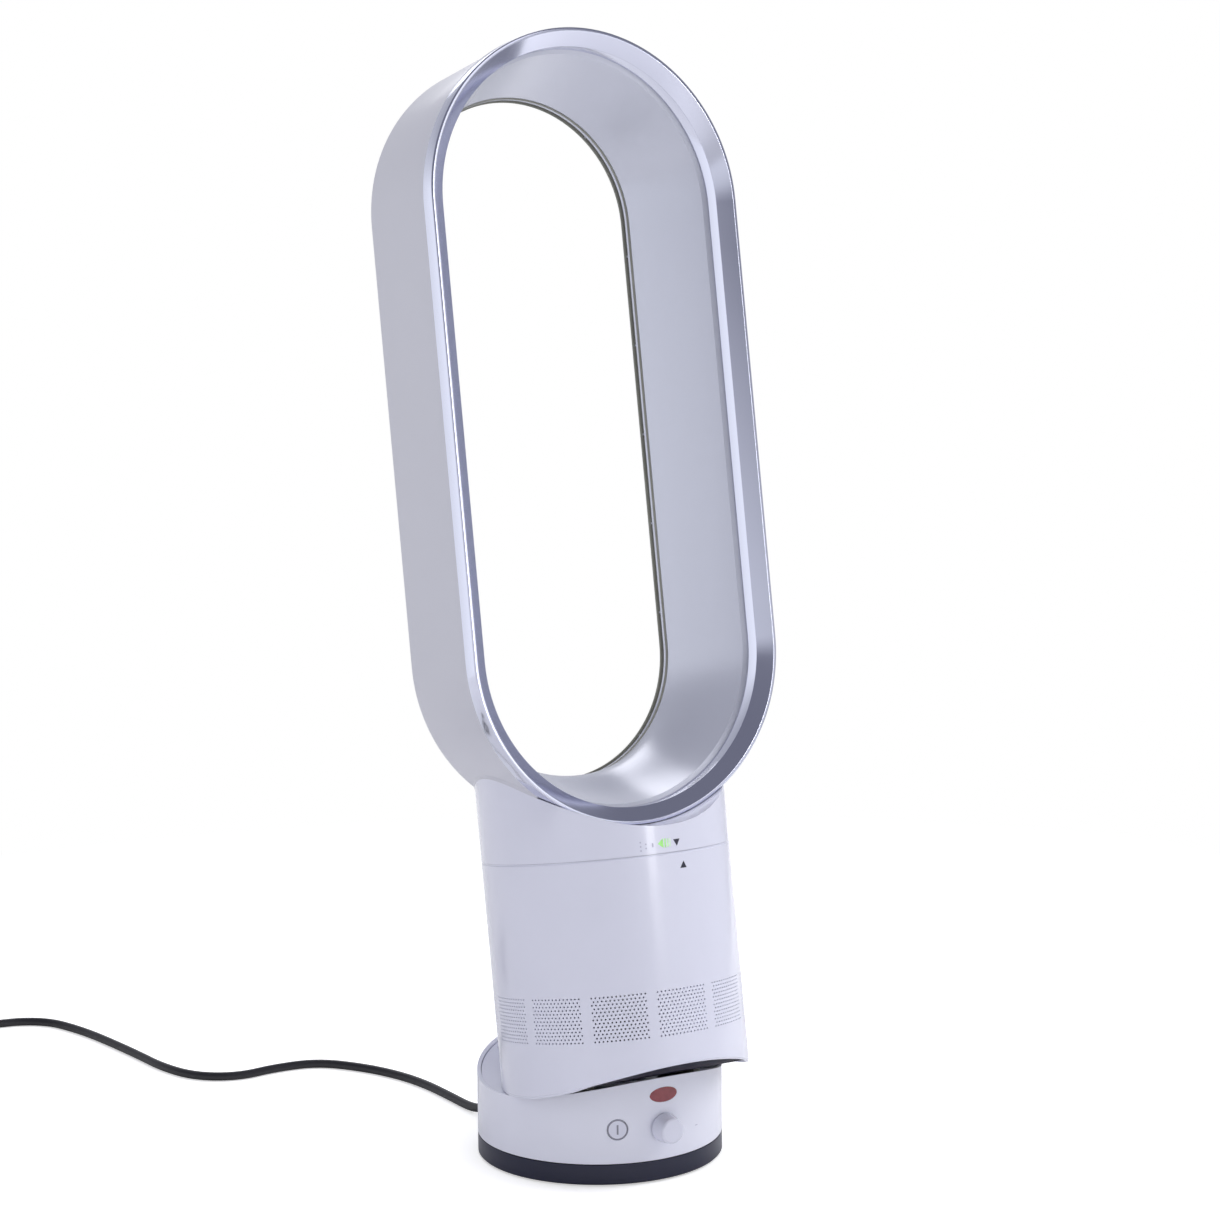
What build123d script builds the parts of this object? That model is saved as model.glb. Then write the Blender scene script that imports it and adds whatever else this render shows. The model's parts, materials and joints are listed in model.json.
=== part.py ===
from build123d import *

import os
from math import cos, degrees, pi, radians, sin, sqrt, tan

# Bladeless tower fan, tilted back on its base as it stands in use.
# Millimetres, +Z up, front towards -Y. The origin is the centre of the base's underside.
# Azimuths are in degrees round Z, 0 at the front and positive towards +X.
# The body and the loop are drawn upright and then leant back about the tilt pivot.

# ---------------------------------------------------------------- driving sizes
BODY_RADIUS = 80.0
SHELL_WALL = 2.5
SEAT_GAP = 0.3            # between pieces that seat on or beside each other
RUNNING_GAP = 0.08        # radial, round a shaft that turns
PRESS_GAP = 0.35          # round a button that travels

# foot: the ring that stays still on the table
FOOT_HEIGHT = 14.0
FOOT_WALL = 3.0
FOOT_FLOOR = 2.0
FOOT_BEVEL = 0.8
PAD_INSET = 8.0
PAD_THICKNESS = 2.5
PAD_PROUD = 1.0
POST_RADIUS = 14.0
POST_BORE = 9.0
BALLAST_INNER = 20.0
BALLAST_RIM_GAP = 7.0
BALLAST_THICKNESS = 5.0
SLIDE_RING_WIDTH = 6.0
SLIDE_RING_RIM_GAP = 4.0
RETAINER_THICKNESS = 1.5
RETAINER_OVERLAP = 3.5

# base: turns on the foot
BASE_SEAM = 0.6
TURNTABLE_THICKNESS = 3.0
HUB_WALL = 3.0
HUB_HEIGHT = 9.0
BOSS_RADIUS = 4.5
BOSS_BITE = 0.8
BOSS_AZIMUTH = 45.0
SCREW_RADIUS = 1.5
SCREW_HEAD_RADIUS = 2.8
SCREW_HEAD_HEIGHT = 1.8
SCREW_GRIP = 14.0

# saddle between base and body: arcs about the tilt pivot
PIVOT_HEIGHT = 263.0
SADDLE_LOW = 52.0
SADDLE_GAP = 1.6
DECK_RECESS = 0.8
DECK_THICKNESS = 3.0
DECK_SLOT_WIDTH = 24.0
DECK_SLOT_LENGTH = 80.0
TILT_TRAVEL = 10.0        # either way from upright
RUNNER_RIM_GAP = 1.4
RUNNER_HALF_ANGLE = 6.4
RUNNER_STEM_WIDTH = 5.0
RUNNER_HEAD_WIDTH = 10.0
RUNNER_HEAD_THICKNESS = 2.0
RUNNER_SIDE_GAP = 0.6
RUNNER_END_ANGLE = 0.4
KEEL_RECESS = 0.4
KEEL_THICKNESS = 8.0
LEAN = 9.2                # the lean of the photographed fan, towards +Y

# oscillation drive: a pinion inside a toothed arc
GEAR_INSET = 22.0         # pitch circle of the toothed arc, in from the ballast's rim
RING_TEETH = 96
PINION_TEETH = 16
RING_ARC_HALF_ANGLE = 60.0
RING_BACK = 6.0
RING_HEIGHT = 4.2
PRESSURE_ANGLE = 20.0
GEAR_BACKLASH = 0.2
GEAR_ADDENDUM = 0.85
GEAR_DEDENDUM = 1.3
PINION_HEIGHT = 3.6
PINION_SHAFT_RADIUS = 2.0
MOTOR_SHAFT_OFFSET = 4.0
SWIVEL_MOTOR_RADIUS = 22.0
SWIVEL_MOTOR_HEIGHT = 18.0
MOTOR_EAR_WIDTH = 8.0
MOTOR_EAR_REACH = 6.0
MOTOR_EAR_THICKNESS = 2.0

# control panel at the front of the base
BUTTON_AZIMUTH = -22.5
BUTTON_HEIGHT = 36.8
BUTTON_RADIUS = 6.5
BUTTON_FLANGE = 1.5
BUTTON_FLANGE_THICKNESS = 1.5
BUTTON_TRAVEL = 0.8
BUTTON_STEM_RADIUS = 2.5
KNOB_HEIGHT = 35.2
KNOB_BASE_RADIUS = 9.4
KNOB_FACE_RADIUS = 8.0
KNOB_DEPTH = 10.5
KNOB_BACK_GAP = 0.7
KNOB_EDGE = 0.8
KNOB_SHAFT_RADIUS = 3.0
KNOB_SHAFT_LENGTH = 12.5
ENCODER_SIZE = 12.0
ENCODER_DEPTH = 6.5
ENCODER_BUSH_WALL = 1.5
WINDOW_HEIGHT = 56.5
WINDOW_WIDTH = 20.0
WINDOW_TALL = 9.6
WINDOW_RIM = 1.2
WINDOW_RIM_DEPTH = 1.2
RECEIVER_SIZE = 6.0
BRACKET_INSET = 18.0
BRACKET_THICKNESS = 2.0
BRACKET_RIGHT_REACH = 30.0
BRACKET_LEFT_REACH = 32.0
BRACKET_TOP = 49.0
BOARD_THICKNESS = 1.6
BOARD_WIDTH = 40.0
BOARD_BOTTOM_GAP = 2.0
KEY_BOARD_WIDTH = 18.0
KEY_BOARD_TALL = 24.0
SWITCH_SIZE = 6.0
SWITCH_BODY = 3.5
SWITCH_PLUNGER_RADIUS = 1.7
SWITCH_PLUNGER = 2.2

# body: the upright cylinder
SEAM_HEIGHT = 200.0
SEAM_GAP = 0.8
INTAKE_BAND = 28.5
INTAKE_TOP_GAP = 2.0
INTAKE_PANELS = 12
INTAKE_PANEL_ANGLE = 25.2
INTAKE_COLUMNS = 5
INTAKE_ROWS = 3
INTAKE_HOLE_RADIUS = 1.9
INTAKE_HOLE_SIDES = 6
BODY_BOSS_HEIGHT = 13.0
DRIVER_BOARD_RADIUS = 36.0
BOARD_POST_RADIUS = 3.5
BOARD_POST_SPACING = 44.0
CHOKE_SIZE = 14.0
CHOKE_HEIGHT = 4.0
CHOKE_PLACE = (-12.0, 8.0)
CAPACITOR_RADIUS = 5.0
CAPACITOR_PLACE = (14.0, -6.0)
FOAM_INSET = 14.0
FOAM_INNER = 30.0
FOAM_THICKNESS = 10.0

# impeller, motor and housing
HOUSING_TOP_GAP = 1.0
HOUSING_WALL = 2.0
HOUSING_INSET = 16.0
HOUSING_THROAT_STEP = 14.0
HOUSING_LIP_FLARE = 1.0
HOUSING_LIP_HEIGHT = 6.0
HOUSING_CONE_HEIGHT = 30.0
HOUSING_SHOULDER = 4.0
HOUSING_HEIGHT = 66.0
HOUSING_FLANGE = 2.5
SEAL_HEIGHT = 3.5
SEAL_WIDTH = 4.0
BLADE_COUNT = 9
BLADE_THICKNESS = 1.6
BLADE_TIP_GAP = 1.0
HUB_NOSE_RADIUS = 10.0
HUB_NOSE_EDGE = 1.0
HUB_NOSE_STEP = 6.0
HUB_NOSE_HEIGHT = 10.0
BLADE_EDGE_GAP = 2.0
BLADE_SWEEP = 62.0
BLADE_SWEEP_MIDWAY = 24.0
HUB_BACK_STEP = 27.0
IMPELLER_LIFT = 4.0
IMPELLER_DEPTH = 24.0
IMPELLER_DISC = 2.0
SHAFT_RADIUS = 3.0
SHAFT_LENGTH = 30.0
SHAFT_SEAT = 6.0          # the shaft's end above the impeller's front
BUCKET_GAP = 1.5
BUCKET_DUCT = 24.0         # air passage round the pod
BUCKET_WALL = 2.0
BUCKET_LOWER_HEIGHT = 18.0
BUCKET_UPPER_HEIGHT = 20.0
FAN_MOTOR_DUCT = 17.0
FAN_MOTOR_HEIGHT = 24.0
ISOLATOR_HEIGHT = 6.0
VANE_COUNT = 9
VANE_THICKNESS = 1.8
VANE_TILT = 25.0
VANE_HEIGHT = 20.0
DIFFUSER_RING = 1.6

# twist lock between body and loop
SPIGOT_INSET = 13.0
SPIGOT_WALL = 4.5
SPIGOT_DEPTH = 15.0
SOCKET_GAP = 1.2
SOCKET_DEPTH = 14.0
SOCKET_DROP = 1.6
LUG_COUNT = 3
LUG_HALF_ANGLE = 6.0
LUG_REACH = 4.0
LUG_HEIGHT = 3.6
LUG_PLAY_ANGLE = 1.5
TWIST_ANGLE = 15.0
SPIGOT_SEAL_HEIGHT = 2.0
SPIGOT_SEAL_DEPTH = 1.2
DISPLAY_AZIMUTH = -6.0
DISPLAY_WIDTH = 26.0
DISPLAY_TALL = 11.0
DISPLAY_INSET = 6.0
DISPLAY_POST_THICKNESS = 1.8

# loop: a stadium-shaped duct, profiles given as distance from its spine and depth along Y
LOOP_LIFT = 18.5          # seam to the underside of the loop's front
LOOP_HALF_STRAIGHT = 141.5
LOOP_FRONT = -53.9
LOOP_BACK = 45.0
LOOP_FRONT_RADIUS = 110.4
LOOP_TAPER = 4.4
LOOP_FRAME_WIDTH = 28.4
LOOP_WALL = 2.2
LOOP_BACK_ROUND = 5.0
REAR_WALL = 1.6
SLOT_WIDTH = 2.2
SLOT_LIP_WIDTH = 2.8
SLOT_LIP_STEP = 0.8
SLOT_SPACER_LENGTH = 1.5
SLOT_SPACER_GAP = 0.4
SLOT_SPACER_PITCH = 60.0
SLOT_SPACERS_PER_SIDE = 5
SLOT_SPACERS_PER_END = 3
TRIM_PROUD = 0.5
TRIM_WALL = 1.5
TRIM_BAND = 12.0
TRIM_NOSE = 2.4
TRIM_CHAMFER_DEPTH = 7.0
TRIM_FACE_WIDTH = 10.5
TRIM_RETURN = 9.9
DUCT_EDGE_STEP = 1.0
DUCT_EDGE_WIDTH = 3.5
DUCT_BULGE = 0.8
INLET_RADIUS = 37.0
INLET_REACH = 28.0
COLLAR_HEIGHT = 62.0

# power cord
CORD_RADIUS = 3.0
GLAND_X = -31.0
GLAND_HEIGHT = 8.0
GLAND_WALL_RADIUS = 4.3
GLAND_BACK_RADIUS = 3.3
GLAND_NECK_RADIUS = 5.2
GLAND_TIP_RADIUS = 4.0
GLAND_LENGTH = 12.0
GLAND_GROOVES = 3
GLAND_GROOVE_WIDTH = 1.2
GLAND_GROOVE_DEPTH = 0.7
GLAND_INSIDE = 5.0
GLAND_STANDOFF = 2.5
GLAND_LEAD = 10.0          # straight run of cord beyond the strain relief
ARC_SHARE = 0.45           # of a straight run of cord that each of its bends takes up
COIL_LEAD = 30.0
COIL_START = (-293.0, 509.0)
COIL_HEADING = 170.0
COIL_RADIUS = 42.3
COIL_PITCH = 6.6
COIL_INWARD_HALF_TURNS = 5
COIL_OUTWARD_HALF_TURNS = 4
TAIL_LEVEL = 24.0          # level run off the coil before the tail drops
TAIL_DROP = 26.0
TAIL_END = 16.0
PLUG_THICKNESS = 13.7
PLUG_WIDTH = 35.3
PLUG_NECK_WIDTH = 14.0
PLUG_LENGTH = 36.0
PLUG_NECK_LENGTH = 12.0
PLUG_ROUND = 4.0
PLUG_EDGE = 2.5
PIN_RADIUS = 2.0
PIN_TAPER = 0.2
PIN_LENGTH = 19.0
PIN_SPACING = 18.6

# ---------------------------------------------------------------- derived sizes
SHELL_BORE = BODY_RADIUS - SHELL_WALL
INNER_RADIUS = SHELL_BORE - SEAT_GAP
PAD_RADIUS = BODY_RADIUS - PAD_INSET
BRACKET_RADIUS = BODY_RADIUS - BRACKET_INSET
FOAM_OUTER = BODY_RADIUS - FOAM_INSET
HOUSING_BORE = BODY_RADIUS - HOUSING_INSET
HOUSING_THROAT = HOUSING_BORE - HOUSING_THROAT_STEP
HUB_BACK_RADIUS = HOUSING_BORE - HUB_BACK_STEP
BUCKET_RADIUS = HOUSING_BORE - BUCKET_DUCT
FAN_MOTOR_RADIUS = BUCKET_RADIUS - FAN_MOTOR_DUCT
SPIGOT_RADIUS = BODY_RADIUS - SPIGOT_INSET
DISPLAY_RADIUS = BODY_RADIUS - DISPLAY_INSET
SADDLE_RADIUS = PIVOT_HEIGHT - SADDLE_LOW
FOOT_BOTTOM = PAD_PROUD
FOOT_FLOOR_LOW = PAD_THICKNESS
FOOT_FLOOR_TOP = FOOT_FLOOR_LOW + FOOT_FLOOR
FOOT_BORE = BODY_RADIUS - FOOT_WALL
BALLAST_OUTER = FOOT_BORE - BALLAST_RIM_GAP
BALLAST_TOP = FOOT_FLOOR_TOP + BALLAST_THICKNESS
BASE_LOW = FOOT_HEIGHT + BASE_SEAM
TURNTABLE_LOW = BASE_LOW + SEAT_GAP
TURNTABLE_TOP = TURNTABLE_LOW + TURNTABLE_THICKNESS
HUB_BORE = POST_RADIUS + RUNNING_GAP
HUB_OUTER = HUB_BORE + HUB_WALL
HUB_TOP = TURNTABLE_LOW + HUB_HEIGHT
POST_TOP = HUB_TOP + SEAT_GAP
SLIDE_OUTER = BALLAST_OUTER - SLIDE_RING_RIM_GAP
BOSS_CENTRE = SHELL_BORE - BOSS_RADIUS + BOSS_BITE
DECK_TOP_RADIUS = SADDLE_RADIUS + DECK_RECESS
DECK_UNDER_RADIUS = DECK_TOP_RADIUS + DECK_THICKNESS
BODY_ARC_RADIUS = SADDLE_RADIUS - SADDLE_GAP
KEEL_RADIUS = BODY_ARC_RADIUS - KEEL_RECESS
KEEL_TOP_RADIUS = KEEL_RADIUS - KEEL_THICKNESS
RUNNER_HEAD_TOP = DECK_UNDER_RADIUS + SEAT_GAP
RUNNER_HEAD_UNDER = RUNNER_HEAD_TOP + RUNNER_HEAD_THICKNESS
RUNNER_REACH = RUNNER_HEAD_UNDER * sin(radians(RUNNER_HALF_ANGLE + TILT_TRAVEL))
RUNNER_OUTER = sqrt((INNER_RADIUS - RUNNER_RIM_GAP) ** 2 - RUNNER_REACH**2)
RUNNER_OFFSET = RUNNER_OUTER - RUNNER_HEAD_WIDTH / 2
PITCH_RING = BALLAST_OUTER - GEAR_INSET
GEAR_MODULE = 2 * PITCH_RING / RING_TEETH
PITCH_PINION = GEAR_MODULE * PINION_TEETH / 2
GEAR_CENTRES = PITCH_RING - PITCH_PINION
PINION_LOW = BALLAST_TOP + SEAT_GAP
BODY_TOP = SEAM_HEIGHT - SEAM_GAP / 2
COLLAR_LOW = SEAM_HEIGHT + SEAM_GAP / 2
COLLAR_TOP = SEAM_HEIGHT + COLLAR_HEIGHT
LOOP_BACK_RADIUS = LOOP_FRONT_RADIUS - LOOP_TAPER
LOOP_INNER_RADIUS = LOOP_FRONT_RADIUS - LOOP_FRAME_WIDTH
LOOP_LOW_CENTRE = SEAM_HEIGHT + LOOP_LIFT + LOOP_FRONT_RADIUS
LOOP_CENTRE = LOOP_LOW_CENTRE + LOOP_HALF_STRAIGHT
LOOP_HIGH_CENTRE = LOOP_CENTRE + LOOP_HALF_STRAIGHT
TRIM_RADIUS = LOOP_FRONT_RADIUS + TRIM_PROUD
TRIM_INNER_RADIUS = LOOP_FRONT_RADIUS - TRIM_FACE_WIDTH
TRIM_BACK = LOOP_FRONT + TRIM_BAND
CASING_FRONT = TRIM_BACK + SEAT_GAP
SPIGOT_LOW = SEAM_HEIGHT - SPIGOT_DEPTH
HOUSING_LOW = SPIGOT_LOW - HOUSING_TOP_GAP - HOUSING_HEIGHT
IMPELLER_LOW = HOUSING_LOW + IMPELLER_LIFT
IMPELLER_BACK = IMPELLER_LOW + IMPELLER_DEPTH
SHAFT_LOW = IMPELLER_LOW + SHAFT_SEAT
INTAKE_HIGH = HOUSING_LOW - INTAKE_TOP_GAP
INTAKE_LOW = INTAKE_HIGH - INTAKE_BAND
SOCKET_TOP = BODY_TOP - SOCKET_DROP
SOCKET_BORE = SPIGOT_RADIUS + SOCKET_GAP
LUG_LOW = SPIGOT_LOW + SEAT_GAP
ENCODER_BUSH_RADIUS = KNOB_SHAFT_RADIUS + RUNNING_GAP + ENCODER_BUSH_WALL
KNOB_SHAFT_END = BODY_RADIUS - KNOB_SHAFT_LENGTH
BOARD_INNER = BRACKET_RADIUS + BRACKET_THICKNESS / 2 + SEAT_GAP / 2
BOARD_OUTER = BOARD_INNER + BOARD_THICKNESS
BOARD_SHIFT = BRACKET_RIGHT_REACH - BOARD_WIDTH / 2 - SEAT_GAP
BUTTON_FLANGE_OUTER = sqrt(SHELL_BORE**2 - (BUTTON_RADIUS + BUTTON_FLANGE) ** 2) - PRESS_GAP
WINDOW_RECEIVER_REACH = SHELL_BORE - WINDOW_RIM_DEPTH - SEAT_GAP - BOARD_OUTER - SEAT_GAP - WINDOW_RIM


# ---------------------------------------------------------------- drawing helpers
def disc(radius, low, high):
    return Pos(0, 0, low) * Cylinder(radius, high - low, align=(Align.CENTER, Align.CENTER, Align.MIN))


def ring(outer, inner, low, high):
    return disc(outer, low, high) - disc(inner, low, high)


def turned(points, arc=360.0):
    """Turn a closed outline of (radius, height) points round Z, starting at +X."""
    outline = Polyline(*[(radius, 0, height) for radius, height in points], close=True)
    return revolve(make_face(outline), Axis.Z, arc)


def sector(outer, inner, low, high, start, end):
    """A piece of ring between two azimuths."""
    outline = ((inner, low), (outer, low), (outer, high), (inner, high))
    return Rot(0, 0, start - 90) * turned(outline, end - start)


def around(azimuth, piece):
    return Rot(0, 0, azimuth) * piece


def spindle(radius, inner, outer, height):
    """A cylinder that points forwards, from y = -inner to y = -outer."""
    return Pos(0, -inner, height) * Rot(90, 0, 0) * Cylinder(
        radius, outer - inner, align=(Align.CENTER, Align.CENTER, Align.MIN)
    )


def cone(base_radius, tip_radius, length):
    return Cone(base_radius, tip_radius, length, align=(Align.CENTER, Align.CENTER, Align.MIN))


def pivot_cylinder(radius):
    """Everything nearer to the tilt pivot than the radius."""
    return Pos(0, 0, PIVOT_HEIGHT) * Rot(0, 90, 0) * Cylinder(radius, 4 * BODY_RADIUS)


def pivot_band(outer, inner, disc_radius):
    """A curved plate between two arcs about the tilt pivot, inside an upright cylinder."""
    column = disc(disc_radius, 0, PIVOT_HEIGHT)
    return (column & pivot_cylinder(outer)) - pivot_cylinder(inner)


def arc_height(radius, y):
    """Height of an arc about the tilt pivot at the given depth."""
    return PIVOT_HEIGHT - sqrt(radius**2 - y**2)


def leant(piece):
    """Lean an upright piece back about the tilt pivot."""
    return Pos(0, 0, PIVOT_HEIGHT) * Rot(-LEAN, 0, 0) * Pos(0, 0, -PIVOT_HEIGHT) * piece


def loop_sweep(profile):
    """Carry a profile face, drawn as (distance from spine, depth), round the stadium."""
    side = extrude(Pos(0, 0, LOOP_LOW_CENTRE) * profile, amount=2 * LOOP_HALF_STRAIGHT, dir=(0, 0, 1))
    top_axis = Axis((0, 0, LOOP_HIGH_CENTRE), (0, -1, 0))
    bottom_axis = Axis((0, 0, LOOP_LOW_CENTRE), (0, 1, 0))
    top = revolve(Pos(0, 0, LOOP_HIGH_CENTRE) * profile, top_axis, 180)
    bottom = revolve(Pos(0, 0, LOOP_LOW_CENTRE) * profile, bottom_axis, 180)
    return side + top + mirror(side, about=Plane.YZ) + bottom


def spaced(count):
    """Evenly spaced azimuths for a count of pieces."""
    return [360.0 * index / count for index in range(count)]


# ---------------------------------------------------------------- foot
def foot_plate():
    outline = (
        (POST_BORE, FOOT_FLOOR_LOW),
        (PAD_RADIUS + SEAT_GAP, FOOT_FLOOR_LOW),
        (PAD_RADIUS + SEAT_GAP, FOOT_BOTTOM),
        (BODY_RADIUS - FOOT_BEVEL, FOOT_BOTTOM),
        (BODY_RADIUS, FOOT_BOTTOM + FOOT_BEVEL),
        (BODY_RADIUS, FOOT_HEIGHT),
        (FOOT_BORE, FOOT_HEIGHT),
        (FOOT_BORE, FOOT_FLOOR_TOP),
        (POST_RADIUS, FOOT_FLOOR_TOP),
        (POST_RADIUS, POST_TOP),
        (POST_BORE, POST_TOP),
    )
    gland_hole = Pos(GLAND_X, gland_wall_depth(), GLAND_HEIGHT) * Rot(90, 0, 0) * Cylinder(
        GLAND_WALL_RADIUS + RUNNING_GAP, 6 * FOOT_WALL
    )
    return turned(outline) - gland_hole


def anti_slip_pad():
    return disc(PAD_RADIUS, 0, PAD_THICKNESS)


def ballast_plate():
    return ring(BALLAST_OUTER, BALLAST_INNER, FOOT_FLOOR_TOP, BALLAST_TOP)


def slide_ring():
    return ring(SLIDE_OUTER, SLIDE_OUTER - SLIDE_RING_WIDTH, BALLAST_TOP, TURNTABLE_LOW - SEAT_GAP)


def tooth_half_angle(radius, pitch_radius, growth):
    """Half the angle of a tooth at a radius; growth is +1 where teeth widen outwards."""
    half_width = pi * GEAR_MODULE / 4 - GEAR_BACKLASH / 2
    half_width += growth * (radius - pitch_radius) * tan(radians(PRESSURE_ANGLE))
    return degrees(half_width / radius)


def polar(radius, angle):
    return (radius * cos(radians(angle)), radius * sin(radians(angle)))


def tooth_points(centre, root, tip, pitch_radius, growth):
    root_half = tooth_half_angle(root, pitch_radius, growth)
    tip_half = tooth_half_angle(tip, pitch_radius, growth)
    corners = ((root, -root_half), (tip, -tip_half), (tip, tip_half), (root, root_half))
    return [polar(radius, centre + half) for radius, half in corners]


def ring_gear():
    """An arc of inward teeth behind the post, with a tooth space on the centre line."""
    step = 360.0 / RING_TEETH
    root = PITCH_RING + GEAR_DEDENDUM * GEAR_MODULE
    tip = PITCH_RING - GEAR_ADDENDUM * GEAR_MODULE
    outer = root + RING_BACK
    count = int(2 * RING_ARC_HALF_ANGLE / step)
    inner_points = []
    for index in range(count):
        centre = 90.0 + (index - (count - 1) / 2) * step
        inner_points += tooth_points(centre, root, tip, PITCH_RING, 1)
    start = polar(outer, 90 - RING_ARC_HALF_ANGLE)
    middle = polar(outer, 90)
    end = polar(outer, 90 + RING_ARC_HALF_ANGLE)
    edges = ThreePointArc(start, middle, end) + Polyline(start, *inner_points, end)
    return extrude(Pos(0, 0, BALLAST_TOP) * make_face(edges), amount=RING_HEIGHT)


def gland_wall_depth():
    """Depth of the foot's inner wall where the cord passes through it."""
    return sqrt(BODY_RADIUS**2 - GLAND_X**2) - FOOT_WALL


def hub_retainer():
    return ring(HUB_BORE + RETAINER_OVERLAP, POST_BORE, POST_TOP, POST_TOP + RETAINER_THICKNESS)


def gland_grooves():
    """Rings cut into the strain relief's neck so that it bends with the cord."""
    pitch = GLAND_LENGTH / (GLAND_GROOVES + 1)
    grooves = []
    for index in range(GLAND_GROOVES):
        middle = (index + 1) * pitch
        share = middle / GLAND_LENGTH
        floor = GLAND_NECK_RADIUS + (GLAND_TIP_RADIUS - GLAND_NECK_RADIUS) * share - GLAND_GROOVE_DEPTH
        low = middle - GLAND_GROOVE_WIDTH / 2
        grooves.append(ring(2 * GLAND_NECK_RADIUS, floor, low, low + GLAND_GROOVE_WIDTH))
    return grooves


def cord_gland():
    """Strain relief through the foot's wall, with a tapered, grooved neck outside."""
    back_length = GLAND_INSIDE
    wall_start = gland_wall_depth()
    neck_start = wall_start + FOOT_WALL + GLAND_STANDOFF
    at_x = Pos(GLAND_X, 0, GLAND_HEIGHT)
    forwards = Rot(-90, 0, 0)
    back = Pos(0, wall_start - back_length, 0) * forwards * disc(GLAND_BACK_RADIUS, 0, back_length)
    body = Pos(0, wall_start, 0) * forwards * disc(GLAND_WALL_RADIUS, 0, neck_start - wall_start)
    neck = cone(GLAND_NECK_RADIUS, GLAND_TIP_RADIUS, GLAND_LENGTH) - gland_grooves()
    return at_x * (back + body + Pos(0, neck_start, 0) * forwards * neck)


# ---------------------------------------------------------------- power cord, in the foot's frame
def cord_exit():
    """Centre of the strain relief's tip, where the cord leaves it."""
    return gland_wall_depth() + FOOT_WALL + GLAND_STANDOFF + GLAND_LENGTH


def heading(angle):
    return Vector(cos(radians(angle)), sin(radians(angle)), 0)


def coil_plane():
    """Origin at the coil's first centre, local Y along the incoming cord."""
    forwards = heading(COIL_HEADING)
    outwards = heading(COIL_HEADING - 90)
    start = Vector(COIL_START[0], COIL_START[1], 0)
    return Plane(origin=start - outwards * COIL_RADIUS, x_dir=outwards, z_dir=(0, 0, 1)), forwards


def cord_points():
    """The route on the floor, chosen along the cord that shows, then on to the coil."""
    forwards = coil_plane()[1]
    lead_end = Vector(COIL_START[0], COIL_START[1], CORD_RADIUS) - forwards * 2 * CORD_RADIUS
    lead_corner = lead_end - forwards * COIL_LEAD
    floor = CORD_RADIUS
    return [
        (GLAND_X, cord_exit(), GLAND_HEIGHT),
        (GLAND_X, cord_exit() + GLAND_LEAD, GLAND_HEIGHT),
        (-33.2, 113.0, floor),
        (-33.2, 150.0, floor),
        (-34.0, 181.0, floor),
        (-39.0, 211.0, floor),
        (-51.5, 243.0, floor),
        (-74.0, 274.0, floor),
        (-107.0, 277.5, floor),
        (-137.0, 271.5, floor),
        (-163.0, 288.0, floor),
        (-174.0, 322.0, floor),
        (-177.0, 366.0, floor),
        (-184.0, 428.0, floor),
        (-191.0, 460.0, floor),
        (-199.0, 483.0, floor),
        (-216.0, 497.0, floor),
        (-236.0, 500.5, floor),
        tuple(lead_corner),
        tuple(lead_end),
    ]


def cord_tube(points, name):
    """Straight runs joined by arcs as large as the runs allow."""
    places = [Vector(*point) for point in points]
    radii = []
    for before, corner, after in zip(places, places[1:], places[2:]):
        turn = (corner - before).get_angle(after - corner)
        shorter = min((corner - before).length, (after - corner).length)
        radii.append(ARC_SHARE * shorter / tan(radians(turn / 2)))
    path = FilletPolyline(*places, radius=radii)
    start = Plane(origin=places[0], z_dir=places[1] - places[0])
    tube = sweep(start * Circle(CORD_RADIUS), path=path)
    expected = pi * CORD_RADIUS**2 * path.length
    print(name, "length", round(path.length, 1), "radii", [round(radius) for radius in radii])
    print(name, "volume over section x length", round(tube.volume / expected, 4))
    return tube


def coil_half_turns():
    """Start, end and radius of each half turn, spiralling in, up and out again."""
    radius = COIL_RADIUS
    place = COIL_RADIUS
    side = 1
    low = CORD_RADIUS
    high = CORD_RADIUS + COIL_PITCH
    count = COIL_INWARD_HALF_TURNS + 1 + COIL_OUTWARD_HALF_TURNS
    turns = []
    for index in range(count):
        climbing = index == COIL_INWARD_HALF_TURNS
        start_height = low if index <= COIL_INWARD_HALF_TURNS else high
        end_height = high if climbing else start_height
        end_place = place - side * 2 * radius
        turns.append((place, start_height, end_place, end_height, side))
        place = end_place
        side = -side
        radius += COIL_PITCH / 2 if index >= COIL_INWARD_HALF_TURNS else -COIL_PITCH / 2
    return turns


def coil_path():
    turns = coil_half_turns()
    first = turns[0]
    edges = [Line((first[0], -2 * CORD_RADIUS, first[1]), (first[0], 0, first[1]))]
    for start, start_height, end, end_height, side in turns:
        half_chord = sqrt((end - start) ** 2 + (end_height - start_height) ** 2) / 2
        middle = ((start + end) / 2, side * half_chord, (start_height + end_height) / 2)
        edges.append(ThreePointArc((start, 0, start_height), middle, (end, 0, end_height)))
    last = turns[-1]
    edges.append(Line((last[2], 0, last[3]), (last[2], 2 * CORD_RADIUS, last[3])))
    return Wire(edges)


def least_self_gap(path, samples=600):
    """Smallest gap of the coil to itself, on points that aren't neighbours along it."""
    points = [path @ (index / samples) for index in range(samples + 1)]
    step = path.length / samples
    skip = int(6 * CORD_RADIUS / step) + 1
    least = 1000.0
    for first, point in enumerate(points):
        for other in points[first + skip :]:
            least = min(least, (point - other).length)
    return least - 2 * CORD_RADIUS


def cord_coil():
    path = coil_path()
    start = Plane(origin=path @ 0, z_dir=path % 0)
    coil = sweep(start * Circle(CORD_RADIUS), path=path)
    print("coil length", round(path.length, 1), "least gap to itself", round(least_self_gap(path), 2))
    return coil_plane()[0].location * coil


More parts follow.
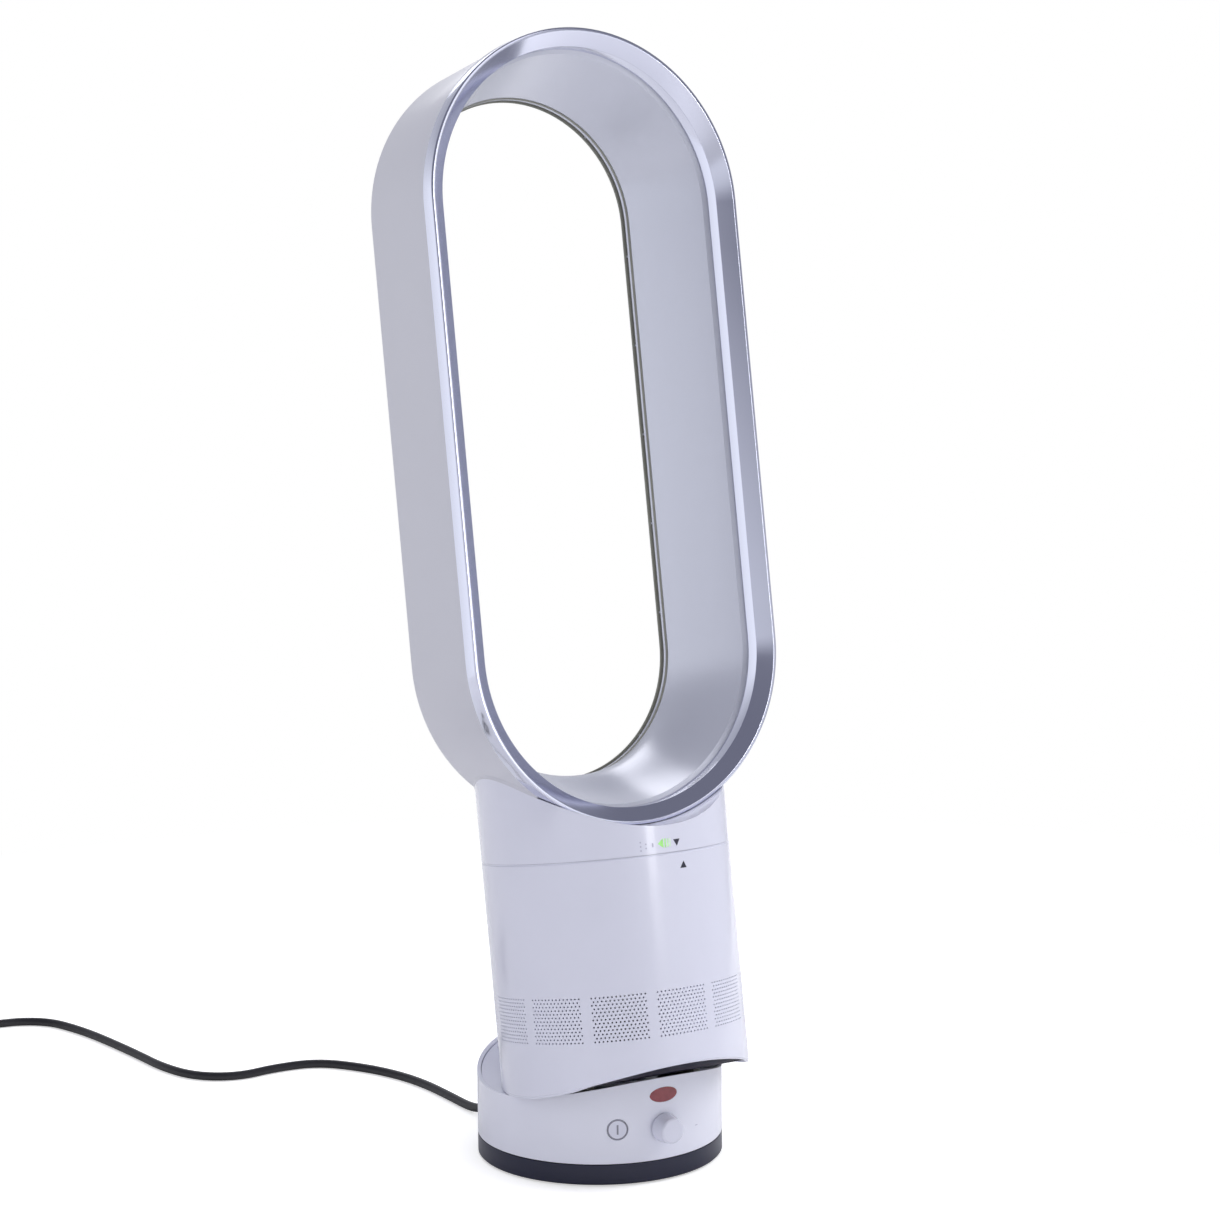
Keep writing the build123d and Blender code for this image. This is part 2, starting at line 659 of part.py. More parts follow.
def tail_points():
    """From the coil's end down to the height of the plug, in the coil's own frame."""
    last = coil_half_turns()[-1]
    across = last[2]
    high = last[3]
    low = PLUG_THICKNESS / 2
    start = 2 * CORD_RADIUS
    return [
        (across, start, high),
        (across, start + TAIL_LEVEL, high),
        (across, start + TAIL_LEVEL + TAIL_DROP, low),
        (across, start + TAIL_LEVEL + TAIL_DROP + TAIL_END, low),
    ]


def cord_tail():
    return coil_plane()[0].location * cord_tube(tail_points(), "cord tail")


def plug_location():
    """Where the plug starts: the end of the cord's tail, pointing on along it."""
    across, along, height = tail_points()[-1]
    return coil_plane()[0].location * Pos(across, along, height)


def plug_body():
    """A flat two-pin plug with a drawn-in neck and rounded edges."""
    half_neck = PLUG_NECK_WIDTH / 2
    half_width = PLUG_WIDTH / 2
    shoulder = PLUG_NECK_LENGTH + half_width - half_neck
    outline = Polyline(
        (-half_neck, 0),
        (half_neck, 0),
        (half_neck, PLUG_NECK_LENGTH),
        (half_width, shoulder),
        (half_width, PLUG_LENGTH),
        (-half_width, PLUG_LENGTH),
        (-half_width, shoulder),
        (-half_neck, PLUG_NECK_LENGTH),
        close=True,
    )
    face = make_face(outline)
    face = fillet(face.vertices().sort_by(Axis.Y)[2:], PLUG_ROUND)
    body = extrude(Pos(0, 0, -PLUG_THICKNESS / 2) * face, amount=PLUG_THICKNESS)
    rims = body.faces().sort_by(Axis.Z)
    body = fillet(rims[0].edges() + rims[-1].edges(), PLUG_EDGE)
    return plug_location() * body


def plug_pins():
    pin = Pos(0, PLUG_LENGTH, 0) * Rot(-90, 0, 0) * cone(PIN_RADIUS, PIN_RADIUS - PIN_TAPER, PIN_LENGTH)
    return [plug_location() * Pos(side * PIN_SPACING / 2, 0, 0) * pin for side in (-1, 1)]


# ---------------------------------------------------------------- base
def boss_azimuths():
    return [BOSS_AZIMUTH + quarter for quarter in spaced(4)]


def screw(head_low, upwards=SCREW_GRIP):
    """A screw driven from below, its head at the given height."""
    head = disc(SCREW_HEAD_RADIUS, head_low, head_low + SCREW_HEAD_HEIGHT)
    return head + disc(SCREW_RADIUS, head_low + SCREW_HEAD_HEIGHT, head_low + SCREW_HEAD_HEIGHT + upwards)


def screw_hole(head_low, upwards=SCREW_GRIP):
    """Clearance for the screw and for the driver below it."""
    play = RUNNING_GAP
    tip = head_low + SCREW_HEAD_HEIGHT + upwards + SEAT_GAP
    shank = disc(SCREW_RADIUS + play, head_low, tip)
    return shank + disc(SCREW_HEAD_RADIUS + SEAT_GAP, 0, head_low + SCREW_HEAD_HEIGHT)


def at_bosses(piece):
    return [around(azimuth, Pos(0, -BOSS_CENTRE, 0) * piece) for azimuth in boss_azimuths()]


def base_screw_head():
    return TURNTABLE_LOW + SEAT_GAP


def base_shell():
    """White housing with the controls' holes, its rim cut to the saddle."""
    shell = ring(BODY_RADIUS, SHELL_BORE, BASE_LOW, PIVOT_HEIGHT / 2)
    bosses = at_bosses(disc(BOSS_RADIUS, TURNTABLE_TOP, PIVOT_HEIGHT / 2))
    shell = shell + (Part() + bosses - pivot_cylinder(DECK_UNDER_RADIUS + SEAT_GAP))
    shell -= pivot_cylinder(SADDLE_RADIUS)
    shell -= at_bosses(screw_hole(base_screw_head()))
    button_hole = spindle(BUTTON_RADIUS + PRESS_GAP, BOSS_CENTRE, 2 * BODY_RADIUS, BUTTON_HEIGHT)
    shell -= around(BUTTON_AZIMUTH, button_hole)
    shell -= spindle(ENCODER_BUSH_RADIUS + PRESS_GAP, BOSS_CENTRE, 2 * BODY_RADIUS, KNOB_HEIGHT)
    shell -= window_prism(RUNNING_GAP)
    return shell


def window_prism(growth):
    """The oval of the receiver window, carried through the front wall."""
    oval = Plane.XZ * Ellipse(WINDOW_WIDTH / 2 + growth, WINDOW_TALL / 2 + growth)
    return Pos(0, -BOSS_CENTRE, WINDOW_HEIGHT) * extrude(oval, amount=2 * BODY_RADIUS)


def receiver_window():
    """A curved oval lens, flush outside, with a rim behind the wall."""
    lens = window_prism(0) & ring(BODY_RADIUS, INNER_RADIUS, BASE_LOW, PIVOT_HEIGHT / 2)
    rim_inner = INNER_RADIUS - WINDOW_RIM_DEPTH
    rim = window_prism(WINDOW_RIM) & ring(INNER_RADIUS, rim_inner, BASE_LOW, PIVOT_HEIGHT / 2)
    return lens + (rim - pivot_cylinder(DECK_UNDER_RADIUS + SEAT_GAP))


def turntable():
    plate = disc(INNER_RADIUS, TURNTABLE_LOW, TURNTABLE_TOP) + disc(HUB_OUTER, TURNTABLE_LOW, HUB_TOP)
    plate -= disc(HUB_BORE, 0, 2 * HUB_TOP)
    plate -= Pos(0, GEAR_CENTRES, 0) * disc(PINION_SHAFT_RADIUS + RUNNING_GAP, 0, 2 * HUB_TOP)
    return plate - at_bosses(screw_hole(base_screw_head()))


def base_screws():
    return at_bosses(screw(base_screw_head()))


def saddle_deck():
    """White curved floor of the saddle, with an opening for the leads and the runners' slots."""
    deck = pivot_band(DECK_UNDER_RADIUS, DECK_TOP_RADIUS, INNER_RADIUS)
    slot = Box(DECK_SLOT_WIDTH, DECK_SLOT_LENGTH, PIVOT_HEIGHT)
    return deck - slot - deck_slots()


def pivot_outline(points):
    """A face at y = 0 from (distance across, distance from the pivot) points."""
    outline = Polyline(*[(across, 0, PIVOT_HEIGHT - radius) for across, radius in points], close=True)
    return make_face(outline)


def swung(profile, half_angle):
    """Carry a profile along an arc about the tilt pivot, both ways from y = 0."""
    axis = Axis((0, 0, PIVOT_HEIGHT), (1, 0, 0))
    return revolve(profile.rotate(axis, -half_angle), axis, 2 * half_angle)


def deck_slots():
    """Long slots in the deck in which the body's runners slide."""
    half_width = RUNNER_STEM_WIDTH / 2 + RUNNER_SIDE_GAP
    top = DECK_TOP_RADIUS - DECK_THICKNESS
    under = DECK_UNDER_RADIUS + DECK_THICKNESS
    corners = ((-half_width, under), (half_width, under), (half_width, top), (-half_width, top))
    profile = pivot_outline(corners)
    slot = swung(profile, RUNNER_HALF_ANGLE + TILT_TRAVEL + RUNNER_END_ANGLE)
    return [Pos(side * RUNNER_OFFSET, 0, 0) * slot for side in (-1, 1)]


def tilt_runners():
    """Two T-shaped runners under the keel: stems in the deck's slots, heads below the deck."""
    stem = RUNNER_STEM_WIDTH / 2
    head = RUNNER_HEAD_WIDTH / 2
    profile = pivot_outline(
        (
            (-stem, KEEL_RADIUS),
            (stem, KEEL_RADIUS),
            (stem, RUNNER_HEAD_TOP),
            (head, RUNNER_HEAD_TOP),
            (head, RUNNER_HEAD_UNDER),
            (-head, RUNNER_HEAD_UNDER),
            (-head, RUNNER_HEAD_TOP),
            (-stem, RUNNER_HEAD_TOP),
        )
    )
    runner = swung(profile, RUNNER_HALF_ANGLE)
    return [Pos(side * RUNNER_OFFSET, 0, 0) * runner for side in (-1, 1)]


def swivel_motor():
    """Flat geared motor, its shaft hole off centre, held down by two ears."""
    shaft_place = Pos(0, GEAR_CENTRES, 0)
    top = TURNTABLE_TOP + SWIVEL_MOTOR_HEIGHT
    can = Pos(0, GEAR_CENTRES + MOTOR_SHAFT_OFFSET, 0) * disc(SWIVEL_MOTOR_RADIUS, TURNTABLE_TOP, top)
    ear_length = 2 * (SWIVEL_MOTOR_RADIUS + MOTOR_EAR_REACH)
    ears = Pos(0, GEAR_CENTRES + MOTOR_SHAFT_OFFSET, TURNTABLE_TOP + MOTOR_EAR_THICKNESS / 2) * Box(
        ear_length, MOTOR_EAR_WIDTH, MOTOR_EAR_THICKNESS
    )
    bore = shaft_place * disc(PINION_SHAFT_RADIUS + RUNNING_GAP, 0, pinion_shaft_top() + SEAT_GAP)
    return can + ears - bore


def pinion_shaft_top():
    return TURNTABLE_TOP + SWIVEL_MOTOR_HEIGHT / 2


def swivel_pinion():
    """Pinion and shaft, a tooth pointing at the toothed arc."""
    root = PITCH_PINION - GEAR_DEDENDUM * GEAR_MODULE
    tip = PITCH_PINION + GEAR_ADDENDUM * GEAR_MODULE
    points = []
    for azimuth in spaced(PINION_TEETH):
        points += tooth_points(90.0 + azimuth, root, tip, PITCH_PINION, -1)
    teeth = extrude(Pos(0, 0, PINION_LOW) * make_face(Polyline(*points, close=True)), amount=PINION_HEIGHT)
    return Pos(0, GEAR_CENTRES, 0) * (teeth + disc(PINION_SHAFT_RADIUS, PINION_LOW, pinion_shaft_top()))


# ---------------------------------------------------------------- control panel
def panel_bracket():
    """Upright wall behind the panel, folded so that one facet faces the button."""
    half_fold = radians(BUTTON_AZIMUTH / 2)
    fold = (BRACKET_RADIUS * tan(half_fold), -BRACKET_RADIUS)
    slope = radians(BUTTON_AZIMUTH)
    left_end = (fold[0] - BRACKET_LEFT_REACH * cos(slope), fold[1] - BRACKET_LEFT_REACH * sin(slope))
    line = Polyline((BRACKET_RIGHT_REACH, -BRACKET_RADIUS), fold, left_end)
    plan = Pos(0, 0, TURNTABLE_TOP) * trace(line, BRACKET_THICKNESS)
    wall = extrude(plan, amount=BRACKET_TOP - TURNTABLE_TOP)
    return wall - pivot_cylinder(DECK_UNDER_RADIUS + SEAT_GAP)


def panel_board(width, tall, low):
    """A board that stands against the bracket's outer face."""
    centre_y = -(BOARD_INNER + BOARD_THICKNESS / 2)
    return Pos(0, centre_y, low + tall / 2) * Box(width, BOARD_THICKNESS, tall)


def control_board():
    low = TURNTABLE_TOP + BOARD_BOTTOM_GAP
    board = panel_board(BOARD_WIDTH, BRACKET_TOP - low, low)
    return Pos(BOARD_SHIFT, 0, 0) * board


def key_board():
    low = BUTTON_HEIGHT - KEY_BOARD_TALL / 2
    board = panel_board(KEY_BOARD_WIDTH, KEY_BOARD_TALL, low)
    return around(BUTTON_AZIMUTH, Pos(-BUTTON_RADIUS / 2, 0, 0) * board)


def tact_switch():
    middle = Pos(0, -(BOARD_OUTER + SWITCH_BODY / 2), BUTTON_HEIGHT)
    body = middle * Box(SWITCH_SIZE, SWITCH_BODY, SWITCH_SIZE)
    face = BOARD_OUTER + SWITCH_BODY
    plunger = spindle(SWITCH_PLUNGER_RADIUS, face, face + SWITCH_PLUNGER, BUTTON_HEIGHT)
    return around(BUTTON_AZIMUTH, body + plunger)


def power_button():
    """Round cap flush with the wall, with a flange behind it and a stem to the switch."""
    cap = spindle(BUTTON_RADIUS, BUTTON_FLANGE_OUTER, 2 * BODY_RADIUS, BUTTON_HEIGHT)
    cap &= disc(BODY_RADIUS, 0, PIVOT_HEIGHT)
    flange_inner = BUTTON_FLANGE_OUTER - BUTTON_FLANGE_THICKNESS
    flange = spindle(BUTTON_RADIUS + BUTTON_FLANGE, flange_inner, BUTTON_FLANGE_OUTER, BUTTON_HEIGHT)
    stem_end = BOARD_OUTER + SWITCH_BODY + SWITCH_PLUNGER + BUTTON_TRAVEL + SEAT_GAP
    stem = spindle(BUTTON_STEM_RADIUS, stem_end, flange_inner, BUTTON_HEIGHT)
    return around(BUTTON_AZIMUTH, cap + flange + stem)


def speed_encoder():
    """Rotary control on the board, with a bush that guides the knob's shaft."""
    body_outer = BOARD_OUTER + ENCODER_DEPTH
    middle = Pos(0, -(BOARD_OUTER + body_outer) / 2, KNOB_HEIGHT)
    body = middle * Box(ENCODER_SIZE, ENCODER_DEPTH, ENCODER_SIZE)
    bush = spindle(ENCODER_BUSH_RADIUS, body_outer, BODY_RADIUS - SHELL_WALL / 2, KNOB_HEIGHT)
    bore = spindle(KNOB_SHAFT_RADIUS + RUNNING_GAP, KNOB_SHAFT_END - SEAT_GAP, 2 * BODY_RADIUS, KNOB_HEIGHT)
    return body + bush - bore


def speed_knob():
    """Tapered knob with an eased edge and its shaft."""
    back = BODY_RADIUS + KNOB_BACK_GAP
    front = back + KNOB_DEPTH
    edge_radius = KNOB_FACE_RADIUS + KNOB_EDGE / 4
    outline = Polyline(
        (0, KNOB_SHAFT_END),
        (KNOB_SHAFT_RADIUS, KNOB_SHAFT_END),
        (KNOB_SHAFT_RADIUS, back),
        (KNOB_BASE_RADIUS, back),
        (edge_radius, front - KNOB_EDGE),
        (KNOB_FACE_RADIUS - KNOB_EDGE, front),
        (0, front),
        close=True,
    )
    knob = revolve(make_face(outline), Axis.Y, 360)
    return Pos(0, 0, KNOB_HEIGHT) * Rot(180, 0, 0) * knob


def ir_receiver():
    """Small sensor on the board's top edge, behind the window."""
    deep = WINDOW_RECEIVER_REACH
    block = Box(RECEIVER_SIZE, deep, RECEIVER_SIZE)
    low = BRACKET_TOP - RECEIVER_SIZE / 3
    return Pos(0, -(BOARD_OUTER + deep / 2), low + RECEIVER_SIZE / 2) * block


# ---------------------------------------------------------------- body, drawn upright
def intake_holes():
    """Staggered rows of small holes in twelve panels round the body."""
    step_up = (INTAKE_HIGH - INTAKE_LOW) / INTAKE_ROWS
    step_round = INTAKE_PANEL_ANGLE / (INTAKE_COLUMNS + 0.5)
    outline = Plane.XZ * RegularPolygon(INTAKE_HOLE_RADIUS, INTAKE_HOLE_SIDES)
    prism = Pos(0, -SHELL_BORE + SHELL_WALL, 0) * extrude(outline, amount=3 * SHELL_WALL)
    holes = []
    for panel in spaced(INTAKE_PANELS):
        for row in range(INTAKE_ROWS):
            height = INTAKE_LOW + (row + 0.5) * step_up
            first = panel - INTAKE_PANEL_ANGLE / 2 + step_round * (0.5 + 0.5 * (row % 2))
            for column in range(INTAKE_COLUMNS):
                holes.append(around(first + column * step_round, Pos(0, 0, height) * prism))
    return holes


def body_boss_low():
    depth = BOSS_CENTRE * cos(radians(BOSS_AZIMUTH)) + BOSS_RADIUS
    return arc_height(KEEL_TOP_RADIUS, depth) + SEAT_GAP


def body_screw_head():
    depth = BOSS_CENTRE * cos(radians(BOSS_AZIMUTH))
    return arc_height(KEEL_RADIUS, depth) + KEEL_THICKNESS / 3


def body_shell():
    """White cylinder, its lower edge cut to the saddle and perforated round the intake."""
    shell = ring(BODY_RADIUS, SHELL_BORE, 0, BODY_TOP) & pivot_cylinder(BODY_ARC_RADIUS)
    bosses = at_bosses(disc(BOSS_RADIUS, body_boss_low(), body_boss_low() + BODY_BOSS_HEIGHT))
    shell = shell + bosses
    shell -= at_bosses(screw_hole(body_screw_head()))
    return shell - intake_holes()


def body_screws():
    return at_bosses(screw(body_screw_head()))


def tilt_keel():
    """Dark curved underside of the body, with posts that hold the drive's board."""
    keel = pivot_band(KEEL_RADIUS, KEEL_TOP_RADIUS, INNER_RADIUS)
    posts_low = arc_height(KEEL_RADIUS - KEEL_THICKNESS / 2, 0)
    for x in (-1, 1):
        for y in (-1, 1):
            place = Pos(x * BOARD_POST_SPACING / 2, y * BOARD_POST_SPACING / 2, 0)
            keel += place * disc(BOARD_POST_RADIUS, posts_low, driver_board_low())
    return keel - at_bosses(screw_hole(body_screw_head()))


def driver_board_low():
    return arc_height(KEEL_TOP_RADIUS, DRIVER_BOARD_RADIUS) + 2 * SEAT_GAP


def driver_board():
    """Round board of the motor's drive, with its tall components."""
    low = driver_board_low()
    board = disc(DRIVER_BOARD_RADIUS, low, low + BOARD_THICKNESS)
    top = low + BOARD_THICKNESS
    choke = Pos(*CHOKE_PLACE, top + CHOKE_HEIGHT / 2) * Box(CHOKE_SIZE, CHOKE_SIZE, CHOKE_HEIGHT)
    capacitor = Pos(*CAPACITOR_PLACE, 0) * disc(CAPACITOR_RADIUS, top, foam_low() - 2 * SEAT_GAP)
    return board + choke + capacitor


def foam_low():
    return arc_height(KEEL_TOP_RADIUS, FOAM_OUTER) + SEAT_GAP


def silencer_foam():
    return ring(FOAM_OUTER, FOAM_INNER, foam_low(), foam_low() + FOAM_THICKNESS)


def housing_outline(inset):
    """Inner wall of the housing from throat to bore, moved inwards by an inset."""
    shoulder = HOUSING_LOW + HOUSING_CONE_HEIGHT
    return [
        (HOUSING_THROAT - inset, HOUSING_LOW),
        (HOUSING_THROAT + HOUSING_LIP_FLARE - inset, HOUSING_LOW + HOUSING_LIP_HEIGHT),
        (HOUSING_BORE - HOUSING_SHOULDER - inset, shoulder - HOUSING_SHOULDER / 2),
        (HOUSING_BORE - inset, shoulder + HOUSING_SHOULDER),
        (HOUSING_BORE - inset, HOUSING_LOW + HOUSING_HEIGHT),
    ]


def impeller_housing():
    """Shroud round the impeller, with the flange that closes the intake chamber."""
    inner = housing_outline(0)
    outer = housing_outline(-HOUSING_WALL)
    flange_top = HOUSING_LOW + HOUSING_FLANGE
    outer_side = [(radius, height) for radius, height in reversed(outer[1:])]
    neck = (outer[0][0] + HOUSING_LIP_FLARE / 2, flange_top)
    return turned(inner + outer_side + [neck, (INNER_RADIUS, flange_top), (INNER_RADIUS, HOUSING_LOW)])


def housing_seal():
    """Rubber ring on the housing's flange, against the body's wall."""
    low = HOUSING_LOW + HOUSING_FLANGE
    return ring(SHELL_BORE - RUNNING_GAP, SHELL_BORE - SEAL_WIDTH, low, low + SEAL_HEIGHT)


def impeller():
    """Mixed-flow impeller: a coned hub and swept blades cut to the housing's wall."""
    hub = turned(
        (
            (0, IMPELLER_LOW),
            (HUB_NOSE_RADIUS, IMPELLER_LOW + HUB_NOSE_EDGE),
            (HUB_NOSE_RADIUS + HUB_NOSE_STEP, IMPELLER_LOW + HUB_NOSE_HEIGHT),
            (HUB_BACK_RADIUS, IMPELLER_BACK - IMPELLER_DISC),
            (HUB_BACK_RADIUS, IMPELLER_BACK),
            (0, IMPELLER_BACK),
        )
    )
    core = HUB_NOSE_RADIUS / 2
    wall = housing_outline(BLADE_TIP_GAP)
    room = turned([(core, wall[0][1])] + wall + [(core, wall[-1][1])])
    room &= disc(HOUSING_BORE, IMPELLER_LOW + BLADE_EDGE_GAP, IMPELLER_BACK - BLADE_EDGE_GAP / 2)
    root = polar(HUB_NOSE_RADIUS, 0)
    middle = polar((HUB_NOSE_RADIUS + HOUSING_BORE) / 2, BLADE_SWEEP_MIDWAY)
    tip = polar(HOUSING_BORE, BLADE_SWEEP)
    curve = trace(ThreePointArc(root, middle, tip), BLADE_THICKNESS)
    blade = extrude(Pos(0, 0, IMPELLER_LOW) * curve, amount=IMPELLER_BACK - IMPELLER_LOW)
    blade &= room
    return hub + [around(azimuth, blade) for azimuth in spaced(BLADE_COUNT)] - shaft_bore()


def shaft_bore():
    return disc(SHAFT_RADIUS, SHAFT_LOW, 2 * HOUSING_LOW)


def impeller_shaft():
    return disc(SHAFT_RADIUS, SHAFT_LOW, SHAFT_LOW + SHAFT_LENGTH)


def bucket_low():
    return IMPELLER_BACK + BUCKET_GAP


def bucket_split():
    return bucket_low() + BUCKET_LOWER_HEIGHT


def motor_bucket_lower():
    """Lower half of the streamlined pod that holds the motor."""
    inner = BUCKET_RADIUS - BUCKET_WALL
    floor = bucket_low() + BUCKET_WALL
    return turned(
        (
            (SHAFT_RADIUS + 1, bucket_low()),
            (BUCKET_RADIUS - 2, bucket_low()),
            (BUCKET_RADIUS, bucket_low() + 3),
            (BUCKET_RADIUS, bucket_split()),
            (inner, bucket_split()),
            (inner, floor),
            (SHAFT_RADIUS + 1, floor),
        )
    )


def cap(radius, low, height):
    """A dome of the given base radius and height."""
    ball = (radius**2 + height**2) / (2 * height)
    return Pos(0, 0, low + height - ball) * Sphere(ball) & disc(radius, low, low + height)


def motor_bucket_upper():
    """Domed upper half of the pod."""
    low = bucket_split()
    outside = cap(BUCKET_RADIUS, low, BUCKET_UPPER_HEIGHT)
    return outside - cap(BUCKET_RADIUS - BUCKET_WALL, low, BUCKET_UPPER_HEIGHT - BUCKET_WALL)


def fan_motor():
    """Brushless motor, hung in the pod on its rubber mounts, with a bore for the shaft."""
    low = bucket_low() + BUCKET_WALL + SEAT_GAP
    can = disc(FAN_MOTOR_RADIUS, low, low + FAN_MOTOR_HEIGHT)
    bore = disc(SHAFT_RADIUS + RUNNING_GAP, 0, SHAFT_LOW + SHAFT_LENGTH + SEAT_GAP)
    return can - bore


def motor_isolator():
    """Rubber ring between the motor and the pod's wall."""
    low = bucket_low() + BUCKET_WALL + SEAT_GAP
    outer = BUCKET_RADIUS - BUCKET_WALL - RUNNING_GAP
    return ring(outer, FAN_MOTOR_RADIUS + RUNNING_GAP, low, low + ISOLATOR_HEIGHT)


def diffuser():
    """Two rings joined by tilted vanes that straighten the air round the pod."""
    low = bucket_split() - VANE_HEIGHT / 2
    high = low + VANE_HEIGHT
    inner_low = BUCKET_RADIUS + SEAT_GAP
    outer_high = HOUSING_BORE - SEAT_GAP
    middle = (inner_low + outer_high) / 2
    vane = Pos(0, -middle, (low + high) / 2) * Rot(0, VANE_TILT, 0) * Box(
        VANE_THICKNESS, outer_high - inner_low, 2 * VANE_HEIGHT
    )
    vane &= ring(outer_high - DIFFUSER_RING / 2, inner_low + DIFFUSER_RING / 2, low, high)
    rings = ring(outer_high, outer_high - DIFFUSER_RING, low, high)
    rings += ring(inner_low + DIFFUSER_RING, inner_low, low, high)
    return rings + [around(azimuth, vane) for azimuth in spaced(VANE_COUNT)]


def lug_azimuths():
    return spaced(LUG_COUNT)


def bayonet_socket():
    """Ring in the body's mouth: each lug drops in at a slot and turns under the flange."""
    low = SOCKET_TOP - SOCKET_DEPTH
    socket = ring(INNER_RADIUS, SOCKET_BORE, low, SOCKET_TOP)
    reach = SPIGOT_RADIUS + LUG_REACH + SEAT_GAP
    groove_high = LUG_LOW + LUG_HEIGHT + SEAT_GAP
    open_half = LUG_HALF_ANGLE + LUG_PLAY_ANGLE
    for azimuth in lug_azimuths():
        last = azimuth + TWIST_ANGLE
        socket -= sector(
            reach, SOCKET_BORE - 1, LUG_LOW - SEAT_GAP, groove_high, azimuth - open_half, last + open_half
        )
        socket -= sector(
            reach, SOCKET_BORE - 1, LUG_LOW - SEAT_GAP, 2 * SOCKET_TOP, last - open_half, last + open_half
        )
    half = degrees(DISPLAY_WIDTH / 2 / DISPLAY_RADIUS)
    post_outer = DISPLAY_RADIUS
    post = sector(
        post_outer,
        post_outer - DISPLAY_POST_THICKNESS,
        SOCKET_TOP,
        SOCKET_TOP + DISPLAY_TALL,
        DISPLAY_AZIMUTH - half,
        DISPLAY_AZIMUTH + half,
    )
    return socket + post


def display_board():
    """Curved strip of indicator lights just inside the collar's wall."""
    half = degrees(DISPLAY_WIDTH / 2 / DISPLAY_RADIUS)
    return sector(
        DISPLAY_RADIUS + BOARD_THICKNESS,
        DISPLAY_RADIUS,
        SOCKET_TOP,
        SOCKET_TOP + DISPLAY_TALL,
        DISPLAY_AZIMUTH - half,
        DISPLAY_AZIMUTH + half,
    )


# ---------------------------------------------------------------- loop, drawn upright
def casing_radius(depth):
    """The casing's outer face: distance from the spine at a depth."""
    share = (depth - LOOP_FRONT) / (LOOP_BACK - LOOP_FRONT)
    return LOOP_FRONT_RADIUS + share * (LOOP_BACK_RADIUS - LOOP_FRONT_RADIUS)


def closed_face(*edges):
    outline = edges[0]
    for edge in edges[1:]:
        outline += edge
    return make_face(outline)


def loop_room(growth):
    """The loop's outline with a clearance, run out past the collar front and back."""
    reach = 2 * BODY_RADIUS
    core = LOOP_INNER_RADIUS / 2
    front = TRIM_RADIUS + growth
    step = TRIM_BACK + SEAT_GAP + growth
    outline = Polyline(
        (core, -reach),
        (front, -reach),
        (front, step),
        (casing_radius(LOOP_BACK) + growth, LOOP_BACK),
        (casing_radius(LOOP_BACK) + growth, reach),
        (core, reach),
        close=True,
    )
    return loop_sweep(make_face(outline))


def collar_shell():
    """White collar: a cylinder whose top is the cradle in which the loop sits."""
    cradle = loop_room(SEAT_GAP)
    ceiling = loop_room(SEAT_GAP + SHELL_WALL)
    outside = disc(BODY_RADIUS, COLLAR_LOW, COLLAR_TOP) - cradle
    inside = disc(SHELL_BORE, COLLAR_LOW, COLLAR_TOP) - ceiling
    return outside - inside - inlet_hole()


def inlet_hole():
    """Air passage from the collar up into the loop."""
    return disc(INLET_RADIUS, SEAM_HEIGHT, SEAM_HEIGHT + INLET_REACH)


def bayonet_ring():
    """Spigot below the collar with outward lugs and a groove for its seal."""
    low = SPIGOT_LOW
    body = ring(SPIGOT_RADIUS, SPIGOT_RADIUS - SPIGOT_WALL, low, COLLAR_TOP)
    body -= loop_room(2 * SEAT_GAP + SHELL_WALL)
    half = LUG_HALF_ANGLE
    for azimuth in lug_azimuths():
        body += sector(
            SPIGOT_RADIUS + LUG_REACH,
            SPIGOT_RADIUS - SPIGOT_WALL / 2,
            LUG_LOW,
            LUG_LOW + LUG_HEIGHT,
            azimuth - half,
            azimuth + half,
        )
    groove_low = spigot_seal_low()
    groove_floor = SPIGOT_RADIUS - SPIGOT_SEAL_DEPTH
    return body - ring(2 * SPIGOT_RADIUS, groove_floor, groove_low, groove_low + SPIGOT_SEAL_HEIGHT)


def spigot_seal_low():
    return LUG_LOW + LUG_HEIGHT + 2 * SEAT_GAP + SPIGOT_SEAL_HEIGHT


def spigot_seal():
    """Rubber ring round the spigot."""
    low = spigot_seal_low() + RUNNING_GAP
    high = low + SPIGOT_SEAL_HEIGHT - 2 * RUNNING_GAP
    return ring(SOCKET_BORE - SEAT_GAP, SPIGOT_RADIUS - SPIGOT_SEAL_DEPTH + RUNNING_GAP, low, high)


def nozzle_casing():
    """Outer skin of the loop, turned inwards at the back to form the rear of the air slot."""
    front_inner = casing_radius(CASING_FRONT) - LOOP_WALL
    back_inner = LOOP_BACK_RADIUS - LOOP_WALL
    inside_back = LOOP_BACK - REAR_WALL
    outer_round = LOOP_BACK_ROUND
    inner_round = LOOP_BACK_ROUND - LOOP_WALL
    outline = FilletPolyline(
        (casing_radius(CASING_FRONT), CASING_FRONT),
        (LOOP_BACK_RADIUS, LOOP_BACK),
        (LOOP_INNER_RADIUS, LOOP_BACK),
        (LOOP_INNER_RADIUS, inside_back),
        (back_inner, inside_back),
        (front_inner, CASING_FRONT),
        radius=[outer_round, REAR_WALL / 4, REAR_WALL / 4, inner_round],
    )
    closing = Line((front_inner, CASING_FRONT), (casing_radius(CASING_FRONT), CASING_FRONT))
    return loop_sweep(closed_face(outline, closing)) - inlet_hole()


def duct_front():
    return LOOP_FRONT + TRIM_CHAMFER_DEPTH + TRIM_RETURN + SEAT_GAP


def slot_front():
    """Depth of the duct's rear edge, which is the front of the air slot."""
    return LOOP_BACK - REAR_WALL - SLOT_WIDTH


def duct_curve(front_radius, front, back_radius, back):
    """Gently bulging line along which the air clings to the duct."""
    middle_radius = (front_radius + back_radius) / 2 - DUCT_BULGE
    return ThreePointArc((front_radius, front), (middle_radius, (front + back) / 2), (back_radius, back))


